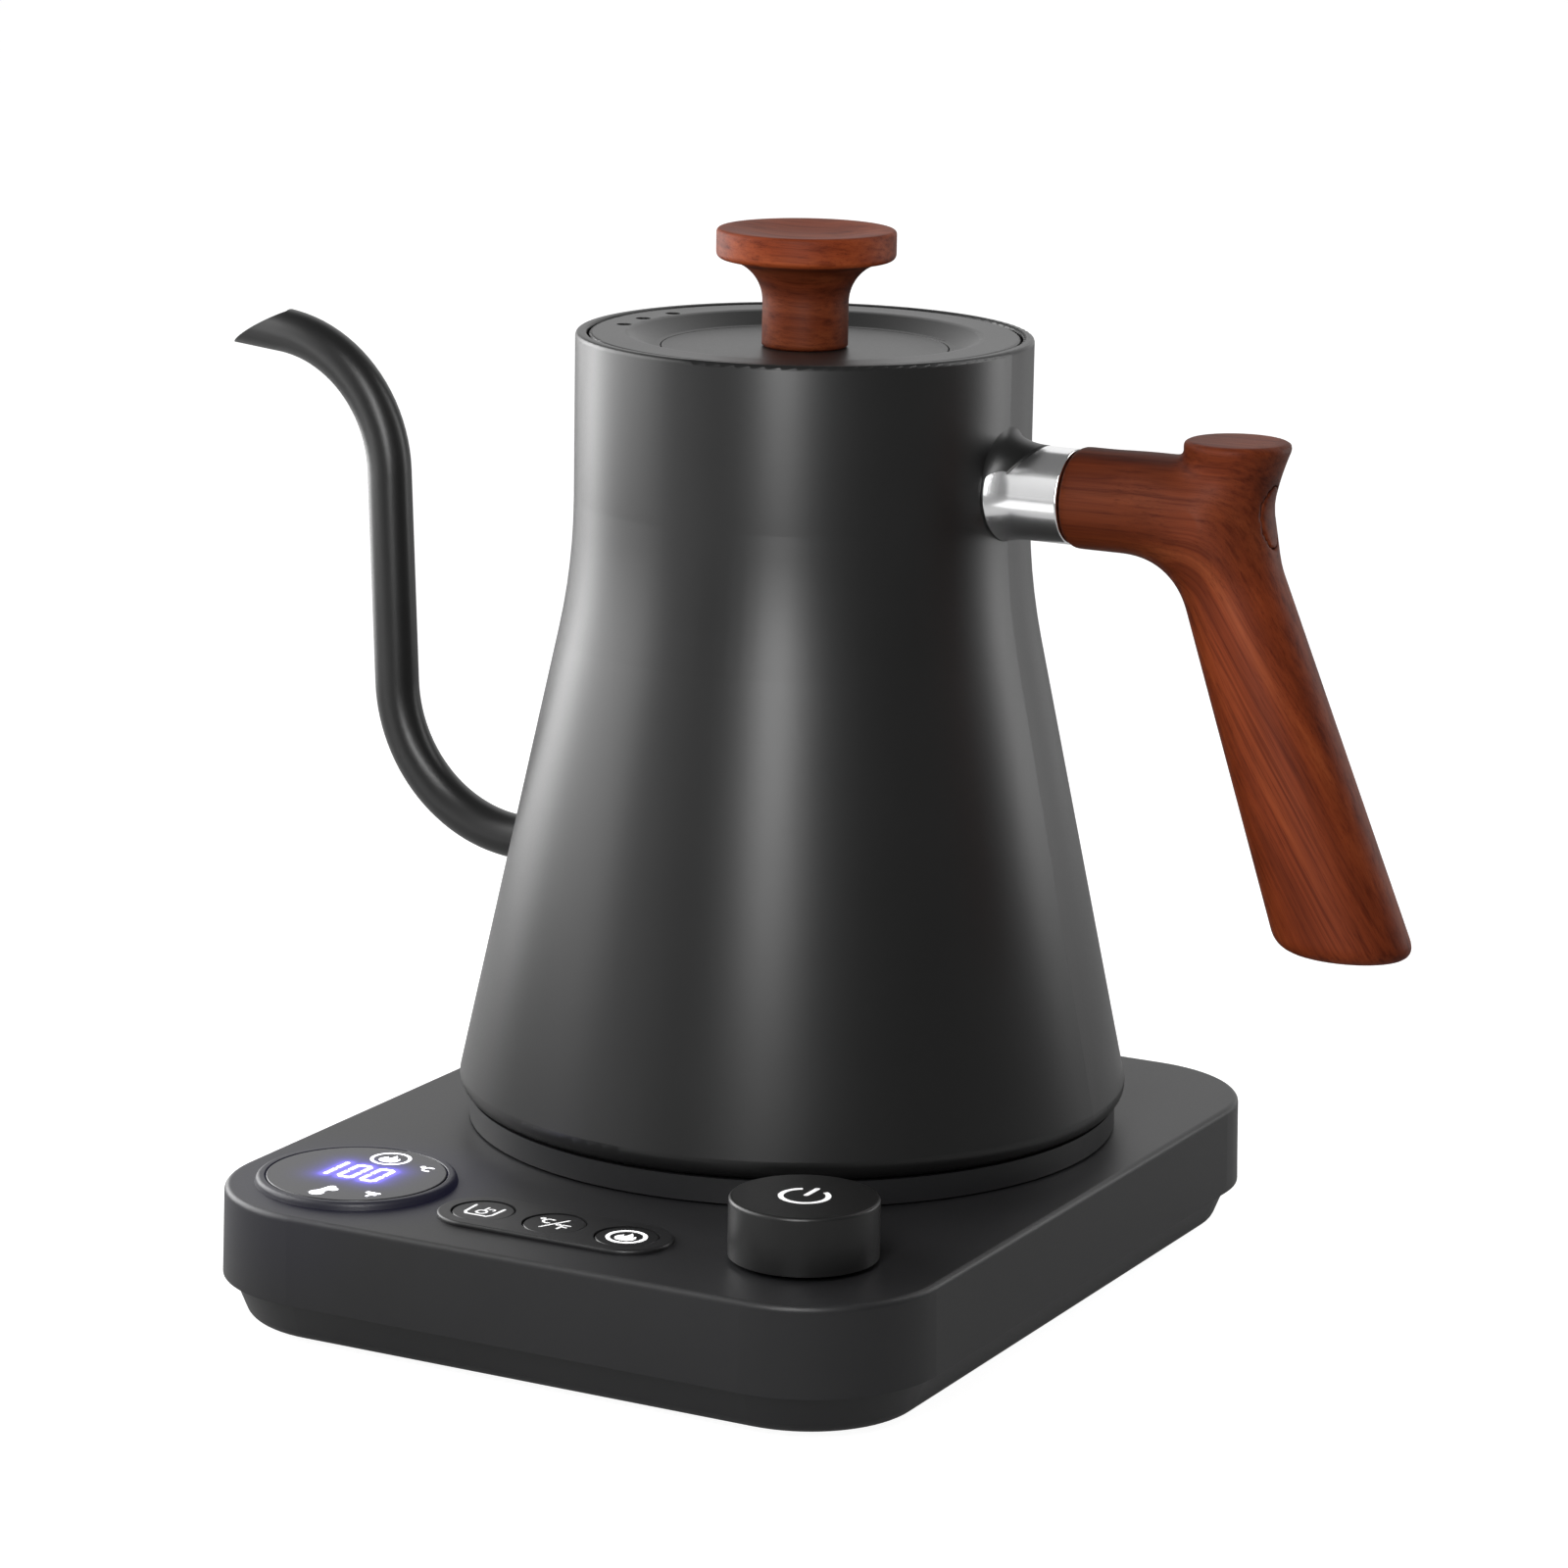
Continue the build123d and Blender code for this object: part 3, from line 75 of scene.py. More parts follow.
# ---------------------------------------------------------------- shader helpers
class Shader:
    """One node tree, with short calls to add and join nodes."""

    def __init__(self, name):
        self.material = bpy.data.materials.new(name)
        self.material.use_nodes = True
        self.tree = self.material.node_tree
        self.principled = self.tree.nodes["Principled BSDF"]

    def node(self, kind, inputs=None, **settings):
        """Adds a node; inputs maps a socket's name or number to a value or another node's output."""
        made = self.tree.nodes.new("ShaderNode" + kind)
        for key, value in settings.items():
            setattr(made, key, value)
        for key, value in (inputs or {}).items():
            self.set(made, key, value)
        return made

    def set(self, node, key, value):
        socket = node.inputs[key]
        if isinstance(value, bpy.types.NodeSocket):
            self.tree.links.new(value, socket)
        else:
            socket.default_value = value

    def finish(self, **inputs):
        """Sets the Principled shader's sockets, named with underscores for spaces."""
        for key, value in inputs.items():
            self.set(self.principled, key.replace("_", " "), value)
        return self.material

    def add(self, a, b):
        return self.node("Math", {0: a, 1: b}, operation="ADD").outputs[0]

    def object_position(self):
        return self.node("TexCoord").outputs["Object"]

    def stretched(self, vector, scale):
        """vector multiplied by scale, component by component."""
        return self.node("VectorMath", {0: vector, 1: scale}, operation="MULTIPLY").outputs[0]

    def noise(self, vector, scale, detail=2.0, roughness=0.5, distortion=0.0):
        inputs = {"Vector": vector, "Scale": scale, "Detail": detail}
        inputs |= {"Roughness": roughness, "Distortion": distortion}
        return self.node("TexNoise", inputs).outputs["Fac"]

    def ramp(self, factor, *stops):
        """Colour ramp of (position, (r, g, b)) stops."""
        made = self.node("ValToRGB", {"Fac": factor})
        elements = made.color_ramp.elements
        while len(elements) < len(stops):
            elements.new(0.5)
        for element, (position, colour) in zip(elements, stops):
            element.position = position
            element.color = (*colour, 1.0)
        return made.outputs["Color"]

    def spread(self, factor, low, high):
        """Maps a 0 to 1 factor onto low to high."""
        made = self.node("MapRange", {"Value": factor, "To Min": low, "To Max": high})
        return made.outputs["Result"]

    def bump(self, height, distance, strength=1.0, normal=None):
        inputs = {"Height": height, "Distance": distance, "Strength": strength}
        if normal is not None:
            inputs["Normal"] = normal
        return self.node("Bump", inputs).outputs["Normal"]


def grey(level):
    return (level, level, level)


def scaled(colour, factor):
    return tuple(factor * c for c in colour)


def coat(s, base, roughness, grain, painted_shade, specular=0.5, tint=grey(1.0)):
    """Inputs of a dark painted or moulded surface: a fine texture and faint large unevenness."""
    place = s.object_position()
    fine = s.noise(place, 1.0 / grain, detail=3.0, roughness=0.6)
    broad = s.noise(place, 22.0, detail=4.0)
    dark, light = scaled(tint, base * 0.86), scaled(tint, base * 1.16)
    colour = s.ramp(broad, (0.3, dark), (0.7, light))
    fine_gloss = s.spread(fine, roughness - 0.03, roughness + 0.03)
    return {
        "Base_Color": colour,
        "Roughness": s.add(fine_gloss, s.spread(broad, -0.02, 0.02)),
        "Specular_IOR_Level": specular,
        "Normal": s.bump(fine, painted_shade),
    }


# ---------------------------------------------------------------- materials
def powder_coat():
    """Satin black coat on the kettle's steel: very fine orange peel."""
    s = Shader("powder_coat")
    return s.finish(**coat(s, 0.0065, 0.37, 0.55 * MM, 0.006 * MM))


def moulding(s, base=0.0105, roughness=0.45):
    """Inputs of black moulded plastic with a fine spark-eroded texture."""
    return coat(s, base, roughness, 0.35 * MM, 0.010 * MM, tint=(0.98, 0.98, 1.06))


def moulded_black(name, *look):
    """Black moulded plastic; look is the base tone and the roughness."""
    s = Shader(name)
    return s.finish(**moulding(s, *look))


def soft_black(name, base, roughness):
    """Rubber and silicone: dull, slightly uneven."""
    s = Shader(name)
    return s.finish(**coat(s, base, roughness, 0.8 * MM, 0.02 * MM, specular=0.35))


# numbers of the Mix node's colour sockets
MIX_FACTOR, MIX_A, MIX_B, MIX_RESULT = 0, 6, 7, 2


def walnut():
    """Oiled red-brown wood. The mesh attribute 'grain' holds (along, across, through) in metres.

    Each layer's noise is stretched along the fibres; its scale is given per metre in those directions.
    """
    s = Shader("oiled_walnut")
    grain = s.node("Attribute", attribute_name="grain").outputs["Vector"]
    # slow wander of the fibres, so that the streaks swell, pinch and curve
    slow = s.stretched(grain, (11.0, 42.0, 42.0))
    drift = s.node("TexNoise", {"Vector": slow, "Scale": 1.0, "Detail": 2.0}).outputs["Color"]
    centred = s.node("VectorMath", {0: drift, 1: grey(0.5)}, operation="SUBTRACT").outputs[0]
    push = s.stretched(centred, (0.0, 4.2 * MM, 4.2 * MM))
    bent = s.node("VectorMath", {0: grain, 1: push}, operation="ADD").outputs[0]
    figure = s.noise(s.stretched(bent, (9.0, 300.0, 130.0)), 1.0, detail=4.0, roughness=0.55)
    streaks = s.noise(s.stretched(bent, (15.0, 1250.0, 700.0)), 1.0, detail=4.0, roughness=0.6)
    pores = s.noise(s.stretched(bent, (70.0, 5200.0, 5200.0)), 1.0, detail=1.0, roughness=0.5)
    patches = s.noise(s.stretched(grain, (26.0, 60.0, 60.0)), 1.0, detail=2.0)
    body = s.ramp(
        figure,
        (0.32, (0.125, 0.0220, 0.0060)),
        (0.46, (0.165, 0.0300, 0.0080)),
        (0.60, (0.200, 0.0400, 0.0110)),
        (0.76, (0.240, 0.0550, 0.0170)),
    )
    dark_lines = s.ramp(
        streaks,
        (0.33, (0.50, 0.38, 0.34)),
        (0.47, (0.88, 0.84, 0.82)),
        (0.60, grey(1.08)),
    )
    pore_lines = s.ramp(pores, (0.30, (0.60, 0.52, 0.50)), (0.42, grey(1.0)))
    warm = s.ramp(patches, (0.3, (0.88, 0.84, 0.82)), (0.7, (1.12, 1.12, 1.10)))
    # painted shade: the arm and the lid knob's stem are made darker and cooler than the leg and the
    # knob's disc
    along = s.node("SeparateXYZ", {0: grain}).outputs["X"]
    reach = {"Value": along, "From Min": -8.0 * MM, "From Max": 14.0 * MM}
    on_leg = s.node("MapRange", reach).outputs["Result"]
    painted_shade = s.ramp(on_leg, (0.0, (0.56, 0.60, 0.66)), (1.0, grey(1.0)))
    colour = body
    # the last layer is the painted shade on the arm and the knob's stem
    for layer, share in ((dark_lines, 0.80), (pore_lines, 0.60), (warm, 1.0), (painted_shade, 1.0)):
        layers = {MIX_FACTOR: share, MIX_A: colour, MIX_B: layer}
        mixed = s.node("Mix", layers, data_type="RGBA", blend_type="MULTIPLY")
        colour = mixed.outputs[MIX_RESULT]
    return s.finish(
        Base_Color=colour,
        Roughness=s.spread(streaks, 0.58, 0.48),
        Specular_IOR_Level=0.12,
        Normal=s.bump(pores, 0.04 * MM, 0.5, s.bump(streaks, 0.04 * MM, 0.4)),
    )


def polished_steel():
    """Mirror-polished collar with faint circular polishing marks."""
    s = Shader("polished_steel")
    place = s.object_position()
    marks = s.noise(s.stretched(place, (4200.0, 160.0, 160.0)), 1.0, detail=2.0)
    cloud = s.noise(place, 90.0, detail=3.0)
    return s.finish(
        Base_Color=s.ramp(cloud, (0.3, (0.96, 0.96, 0.97)), (0.7, grey(1.0))),
        Metallic=1.0,
        Roughness=s.spread(marks, 0.15, 0.19),
        Normal=s.bump(marks, 0.002 * MM, 0.5),
    )


def brushed_metal(name, colour, roughness=0.32):
    """Turned or drawn metal for hidden and underside parts, marked along one direction."""
    s = Shader(name)
    lines = s.noise(s.stretched(s.object_position(), (120.0, 3000.0, 120.0)), 1.0, detail=3.0)
    return s.finish(
        Base_Color=s.ramp(lines, (0.35, scaled(colour, 0.8)), (0.65, colour)),
        Metallic=1.0,
        Roughness=s.spread(lines, roughness - 0.06, roughness + 0.06),
        Normal=s.bump(lines, 0.01 * MM, 0.4),
    )


def cast_aluminium():
    """Aluminium with a dull, finely pitted skin."""
    s = Shader("cast_aluminium")
    skin = s.noise(s.object_position(), 900.0, detail=4.0, roughness=0.6)
    return s.finish(
        Base_Color=s.ramp(skin, (0.3, (0.55, 0.55, 0.57)), (0.7, (0.72, 0.72, 0.74))),
        Metallic=1.0,
        Roughness=s.spread(skin, 0.38, 0.52),
        Normal=s.bump(skin, 0.02 * MM, 0.5),
    )


def circuit_board():
    """Green solder mask with copper tracks showing through as lighter lines."""
    s = Shader("circuit_board")
    place = s.object_position()
    layout = {"Vector": place, "Scale": 220.0, "Mortar Size": 0.035}
    tracks = s.node("TexBrick", layout).outputs["Fac"]
    mask = s.ramp(tracks, (0.0, (0.012, 0.075, 0.032)), (1.0, (0.03, 0.15, 0.06)))
    skin = s.noise(place, 600.0)
    return s.finish(
        Base_Color=mask,
        Roughness=s.spread(skin, 0.25, 0.35),
        Normal=s.bump(tracks, 0.02 * MM, 0.4),
    )


def component(name, colour, roughness=0.45):
    """Moulded housings of relays, capacitors and the like."""
    s = Shader(name)
    skin = s.noise(s.object_position(), 1400.0, detail=3.0)
    return s.finish(
        Base_Color=s.ramp(skin, (0.3, scaled(colour, 0.85)), (0.7, colour)),
        Roughness=s.spread(skin, roughness - 0.05, roughness + 0.05),
        Normal=s.bump(skin, 0.01 * MM, 0.4),
    )


def smoked_window():
    """Dark glossy window; the attribute 'glow' holds the digits' light that spreads at each point."""
    s = Shader("smoked_window")
    glow = s.node("Attribute", attribute_name="glow").outputs["Fac"]
    violet = s.ramp(
        glow,
        (0.0, grey(0.0)),
        (0.25, (0.022, 0.016, 0.16)),
        (1.0, (0.16, 0.12, 1.0)),
    )
    dust = s.noise(s.object_position(), 1500.0, detail=2.0)
    return s.finish(
        Base_Color=s.ramp(dust, (0.3, (0.009, 0.009, 0.012)), (0.7, (0.013, 0.013, 0.017))),
        Roughness=s.spread(dust, 0.26, 0.34),
        Emission_Color=violet,
        Emission_Strength=2.6,
        Normal=s.bump(dust, 0.004 * MM, 0.5),
    )


def light_print(name, colour, strength):
    """Lit or printed white symbols, slightly uneven like a diffuser film over small lamps."""
    s = Shader(name)
    film = s.noise(s.object_position(), 700.0, detail=2.0)
    low = scaled(colour, 0.92)
    return s.finish(
        Base_Color=s.ramp(film, (0.3, low), (0.7, colour)),
        Roughness=s.spread(film, 0.4, 0.5),
        Emission_Color=s.ramp(film, (0.3, low), (0.7, colour)),
        Emission_Strength=strength,
    )


def base_plastic():
    """The base's moulded plastic, with the display's faint violet light falling off around it."""
    s = Shader("base_plastic")
    plastic = moulding(s)
    ends = {0: s.object_position(), 1: tuple(DISPLAY)}
    offset = s.node("VectorMath", ends, operation="SUBTRACT").outputs[0]
    reach = s.node("VectorMath", {0: offset}, operation="LENGTH").outputs["Value"]
    fall = {"Value": reach, "From Min": 16.0 * MM, "From Max": 36.0 * MM, "To Min": 1.0, "To Max": 0.0}
    near = s.node("MapRange", fall, interpolation_type="SMOOTHERSTEP").outputs["Result"]
    violet = s.ramp(near, (0.0, grey(0.0)), (1.0, (0.0030, 0.0028, 0.0120)))
    return s.finish(**plastic, Emission_Color=violet, Emission_Strength=1.0)


MATERIALS = {
    "satin_black": powder_coat(),
    "matte_black": moulded_black("moulded_black"),
    "bezel_black": moulded_black("bezel_black", 0.007, 0.42),
    "window_black": smoked_window(),
    "button_black": moulded_black("button_black", 0.006, 0.40),
    "walnut": walnut(),
    "polished_steel": polished_steel(),
    "brushed_steel": brushed_metal("brushed_steel", (0.62, 0.62, 0.62)),
    "aluminium": cast_aluminium(),
    "brass": brushed_metal("contact_brass", (0.78, 0.56, 0.24), 0.28),
    "rubber": soft_black("rubber", 0.018, 0.75),
    "silicone": soft_black("silicone", 0.06, 0.62),
    "board_green": circuit_board(),
    "component_black": component("component_black", (0.03, 0.03, 0.03)),
    "component_blue": component("component_blue", (0.05, 0.13, 0.33)),
    "component_white": component("component_white", (0.78, 0.78, 0.75)),
}
BASE_PLASTIC = base_plastic()
LIT_BY_DISPLAY = ("base_housing", "display_bezel")


def dress_nodes():
    """Gives each CAD node the material of its slot."""
    for part in frame["record"]["subparts"]:
        material = MATERIALS[part["material_slot"]]
        if part["node"] in LIT_BY_DISPLAY:
            material = BASE_PLASTIC
        slots = frame["nodes"][part["node"]].data.materials
        slots.clear()
        slots.append(material)


# ---------------------------------------------------------------- mesh helpers
def mesh_piece(name, points, faces, material, body):
    """A smooth-shaded mesh object from points in the row frame, riding on a body."""
    mesh = bpy.data.meshes.new(name)
    mesh.from_pydata([tuple(p) for p in points], [], [tuple(f) for f in faces])
    mesh.validate()
    mesh.polygons.foreach_set("use_smooth", [True] * len(mesh.polygons))
    mesh.materials.append(material)
    piece = bpy.data.objects.new(name, mesh)
    bpy.context.scene.collection.objects.link(piece)
    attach(piece, body)
    return piece


def vertices(piece):
    """A mesh piece's points as rows of (x, y, z)."""
    return np.array([v.co for v in piece.data.vertices])


def store(piece, name, kind, values):
    """Writes one value per vertex into a mesh attribute."""
    attribute = piece.data.attributes.new(name, kind, "POINT")
    key = "vector" if kind == "FLOAT_VECTOR" else "value"
    attribute.data.foreach_set(key, np.asarray(values, np.float32).ravel())


# ---------------------------------------------------------------- handle
# Pairs are (x, z) in the handle's plane
ARM_R = 9.75 * MM
ARM_COLLAR_R = 9.2 * MM
ARM_END_X = 90.0 * MM               # inside the thumb rest
REST_X = 92.0 * MM
REST_TOP = GRIP_HIGH.z
REST_WAIST, REST_FLARE = 7.1, 3.6   # radius at the waist and its growth to the top, millimetres
LEG_TOP = Vector((88.4 * MM, ARM_Z - 3.6 * MM))
LEG_END = Vector((117.9 * MM, GRIP_LOW.z))
LEG_HALF_X, LEG_GAIN_X = 10.1, 3.6  # half width of the leg's oval and its growth downwards, millimetres
LEG_HALF_Y, LEG_GAIN_Y = 9.2, 1.2
LEG_EASE, REST_EASE = 0.98, 0.94    # keep the fields' slope near one where the sides lean
ELBOW_FILLET = 9.5 * MM
REST_FILLET = 4.0 * MM
GRAIN_LEAN = radians(57.0)          # the leg's fibres slope less than the leg itself
GRAIN_CORNER = Vector((88.0 * MM, ARM_Z - 9.0 * MM))
GRAIN_BEND = 4.0 * MM               # half width of the zone where the fibres turn
GRID_STEP = 0.45 * MM
PLUG_SEAM = 0.12 * MM               # half width of the seam round the plug
PLUG_SQUEEZE = 0.55                 # width of the plug's oval end over its height
PLUG_SEAT = 8.0 * MM                # depth of the hole that the plug closes
PLUG_LENGTH = 7.0 * MM


def smooth_union(a, b, radius):
    """Joins two distance fields with a fillet of about that radius."""
    overlap = np.maximum(radius - np.abs(a - b), 0.0) / radius
    return np.minimum(a, b) - overlap * overlap * radius / 4


def smooth_cut(a, b, radius):
    """Intersection of two distance fields with a rounded edge."""
    return -smooth_union(-a, -b, radius)


def grip_distance(x, y, z):
    """Signed distance, negative inside, of the grip's outer surface; y is measured from its plane."""
    arm = np.hypot(y, z - ARM_Z) - ARM_R
    arm = smooth_cut(arm, x - ARM_END_X, 6.0 * MM)
    arm = smooth_cut(arm, (COLLAR_HIGH.x + 0.1 * MM) - x, 2.2 * MM)
    # the leg's level cut is an ellipse that grows downwards
    along = np.clip((LEG_TOP.y - z) / (LEG_TOP.y - LEG_END.y), -0.2, 1.0)
    middle = LEG_TOP.x + (LEG_END.x - LEG_TOP.x) * along
    half_x = (LEG_HALF_X + LEG_GAIN_X * along) * MM
    half_y = (LEG_HALF_Y + LEG_GAIN_Y * along) * MM
    ellipse = np.hypot((x - middle) / half_x, y / half_y) - 1.0
    leg = ellipse * half_y * LEG_EASE
    leg = smooth_cut(leg, z - (ARM_Z + 3.0 * MM), 8.0 * MM)
    leg = smooth_cut(leg, GRIP_LOW.z - z, 4.0 * MM)
    # thumb rest: waisted, with a flat top
    rise = np.clip((z - ARM_Z) / (REST_TOP - ARM_Z), -1.2, 1.0)
    radius = (REST_WAIST + REST_FLARE * np.clip(rise, 0.0, 1.0) ** 1.6) * MM
    rest = (np.hypot(x - REST_X, y) - radius) * REST_EASE
    rest = smooth_cut(rest, z - REST_TOP, 2.0 * MM)
    rest = smooth_cut(rest, (ARM_Z - 9.0 * MM) - z, 6.0 * MM)
    return smooth_union(smooth_union(arm, leg, ELBOW_FILLET), rest, REST_FILLET)


def grain_coordinates(points, plane_y):
    """Fibres run along the arm, bend at the elbow and go down the leg at a slant."""
    x, z = points[:, 0] - GRAIN_CORNER.x, points[:, 2] - GRAIN_CORNER.y
    leg_along = cos(GRAIN_LEAN) * x - sin(GRAIN_LEAN) * z
    leg_across = sin(GRAIN_LEAN) * x + cos(GRAIN_LEAN) * z
    share = np.clip(0.5 + (leg_across - z) / (2 * GRAIN_BEND), 0.0, 1.0)
    across = z + (leg_across - z) * share + GRAIN_BEND * share * (1 - share)
    along = x + (leg_along - x) * share
    return np.stack([along, across, points[:, 1] - plane_y], axis=1)


def field_mesh(name, distance, low, high, material, body):
    """A smooth mesh of where a distance field is zero, between two corners."""
    step = GRID_STEP
    axes = [np.arange(low[i] - 2 * step, high[i] + 3 * step, step) for i in range(3)]
    grid = np.meshgrid(*axes, indexing="ij", sparse=True)
    values = np.clip(distance(*grid), -4 * step, 4 * step).astype(np.float32)
    volume = openvdb.FloatGrid(4 * step)
    volume.copyFromArray(values)
    points, quads = volume.convertToQuads(0.0)
    points = np.asarray(points) * step + np.array([a[0] for a in axes])
    return mesh_piece(name, points, quads[:, ::-1], material, body)


def build_handle():
    """Wooden grip, and the oval plug that closes its rear; both are cut from one outer surface."""
    plane_y = KETTLE_AXIS.y

    def oval(y, z):
        return np.hypot((y - plane_y) / PLUG_SQUEEZE, z - ARM_Z)

    def grip(x, y, z):
        body = grip_distance(x, y - plane_y, z)
        hole = np.maximum(oval(y, z) - PLUG_R - PLUG_SEAM, (PLUG_HIGH.x - PLUG_SEAT) - x)
        return np.maximum(body, -hole)

    def plug(x, y, z):
        body = grip_distance(x, y - plane_y, z)
        pin = np.maximum(oval(y, z) - PLUG_R + PLUG_SEAM, (PLUG_HIGH.x - PLUG_LENGTH) - x)
        return np.maximum(body, pin)

    for name, field, node in (("grip", grip, "handle_grip"), ("grip_plug", plug, "handle_plug")):
        low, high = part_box(node)
        made = field_mesh(name, field, low, high, MATERIALS["walnut"], "kettle")
        store(made, "grain", "FLOAT_VECTOR", grain_coordinates(vertices(made), plane_y))
        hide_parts(node)


# ---------------------------------------------------------------- turned pieces
def lathe(name, outline, material, body, around, segments=160):
    """Turns a (radius, height) outline, open at the axis, about the vertical through a point."""
    points, faces = [], []
    count = len(outline)
    for i in range(segments):
        angle = 2 * pi * i / segments
        for radius, height in outline:
            points.append((around.x + radius * cos(angle), around.y + radius * sin(angle), height))
    for i in range(segments):
        j = (i + 1) % segments
        for k in range(count - 1):
            faces.append((i * count + k, j * count + k, j * count + k + 1, i * count + k + 1))
    return mesh_piece(name, points, faces, material, body)


def arc(centre_point, radius, start, end, steps=10):
    """Points on an arc, angles in degrees."""
    angles = [radians(start + (end - start) * i / steps) for i in range(steps + 1)]
    return [(centre_point[0] + radius * cos(a), centre_point[1] + radius * sin(a)) for a in angles]


# distances from the kettle's axis to the neck's surface and to the collar's outer end
NECK_R = hypot(COLLAR_LOW.x - KETTLE_AXIS.x, (COLLAR_HIGH.z - COLLAR_LOW.z) / 2)
COLLAR_REACH = COLLAR_HIGH.x - KETTLE_AXIS.x


def saddle_ring(name, row_at, material):
    """A closed ring about the arm's axis that sits against the round neck.

    row_at(angle) gives a closed row of (radius, run), run being the distance out from the neck.
    """
    spokes, points, faces = 160, [], []
    for i in range(spokes):
        angle = 2 * pi * i / spokes
        for radius, run in row_at(angle):
            saddle = (NECK_R * NECK_R - (radius * cos(angle)) ** 2) ** 0.5
            x = KETTLE_AXIS.x + saddle + run * (COLLAR_REACH - saddle) / (COLLAR_REACH - NECK_R)
            points.append((x, KETTLE_AXIS.y + radius * cos(angle), ARM_Z + radius * sin(angle)))
    count = len(points) // spokes
    for i in range(spokes):
        j = (i + 1) % spokes
        for k in range(count):
            m = (k + 1) % count
            faces.append((i * count + k, i * count + m, j * count + m, j * count + k))
    return mesh_piece(name, points, faces, material, "kettle")


def build_collar():
    """Mirror collar that flares against the neck, under a black fairing drawn out of the neck."""
    length = COLLAR_REACH - NECK_R
    tube, bore, flare, spread = ARM_COLLAR_R, 6.0 * MM, 0.75 * MM, 5.2 * MM
    edge = 0.35 * MM
    row = [(tube + flare * (1.0 - i / 12) ** 2, spread * i / 12) for i in range(13)]
    row += [(tube, length * 0.6), (tube, length - 0.5 * MM)]
    row += [(radius, run) for run, radius in arc((length - edge, tube - edge), edge, 90.0, 0.0, 5)]
    row += [(tube - 0.6 * MM, length), (bore, length), (bore, 0.0)]
    steel = MATERIALS["polished_steel"]
    collar = saddle_ring("collar", lambda angle: row, steel)
    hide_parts("handle_collar")

    def fairing_row(angle):
        """Hollow fillet between the neck and the tube: long above, slight below."""
        rise = sin(angle)
        growth = 7.2 * rise if rise > 0 else -1.5 * rise
        reach = (0.5 + growth) * MM
        height = 0.45 * reach
        sunk = 0.26 * MM            # depth of the fairing's border in the neck
        skin = []
        for i in range(11):
            a = radians(90.0 * i / 10)
            radius = tube + 0.05 * MM + height * (1 - cos(a))
            skin.append((radius, reach * (1 - sin(a)) - sunk * sin(a)))
        return skin[::-1] + [(tube - 0.4 * MM, reach), (tube - 0.4 * MM, 0.0)]

    saddle_ring("collar_fairing", fairing_row, MATERIALS["satin_black"])


def build_lid_knob():
    """Wooden lid knob: slim stem, flared neck and a thick disc with a dished top."""
    low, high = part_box("lid_knob")
    top, bottom = high.z, low.z
    rim, stem = (high.x - low.x) / 2, 8.4 * MM
    under = top - 6.0 * MM          # underside of the disc
    flare = 8.2 * MM
    foot_chamfer, under_round, top_round = 0.4 * MM, 1.3 * MM, 0.8 * MM
    dish, dish_r = 1.5 * MM, rim - 1.2 * MM
    outline = [(0.3 * MM, bottom), (stem - foot_chamfer, bottom), (stem, bottom + foot_chamfer)]
    outline += [(stem, bottom + (under - flare - bottom) * i / 8) for i in range(1, 8)]
    outline += arc((stem + flare, under - flare), flare, 180.0, 97.0, 16)
    outline += arc((rim - under_round, under + 1.4 * MM), under_round, -78.0, 0.0, 8)
    outline += [(rim, under + 2.4 * MM), (rim, top - 1.3 * MM)]
    outline += arc((rim - top_round, top - top_round), top_round, 0.0, 90.0, 8)
    for i in range(1, 20):
        outward = 1 - i / 20
        outline.append((dish_r * outward, top - dish * (1 - outward ** 2.4) ** 1.6))
    outline.append((0.05 * MM, top - dish))
    made = lathe("lid_grip", outline, MATERIALS["walnut"], "lid", KETTLE_AXIS)

    points = vertices(made) - np.array([0.0, KETTLE_AXIS.y, bottom])
    turn = radians(18.0)            # of the fibres, from the handle's plane
    along = points[:, 0] * cos(turn) + points[:, 1] * sin(turn)
    through = points[:, 1] * cos(turn) - points[:, 0] * sin(turn)
    # painted shade: the stem takes the arm's darker tone, the disc the leg's paler one
    run = along + np.where(points[:, 2] + bottom > under, 0.3, -0.3)
    across = points[:, 2] + 0.06 * along
    store(made, "grain", "FLOAT_VECTOR", np.stack([run, across, through], axis=1))
    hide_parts("lid_knob")


# ---------------------------------------------------------------- flat symbols
PRINT = 0.04 * MM               # height of a printed or lit symbol above its face


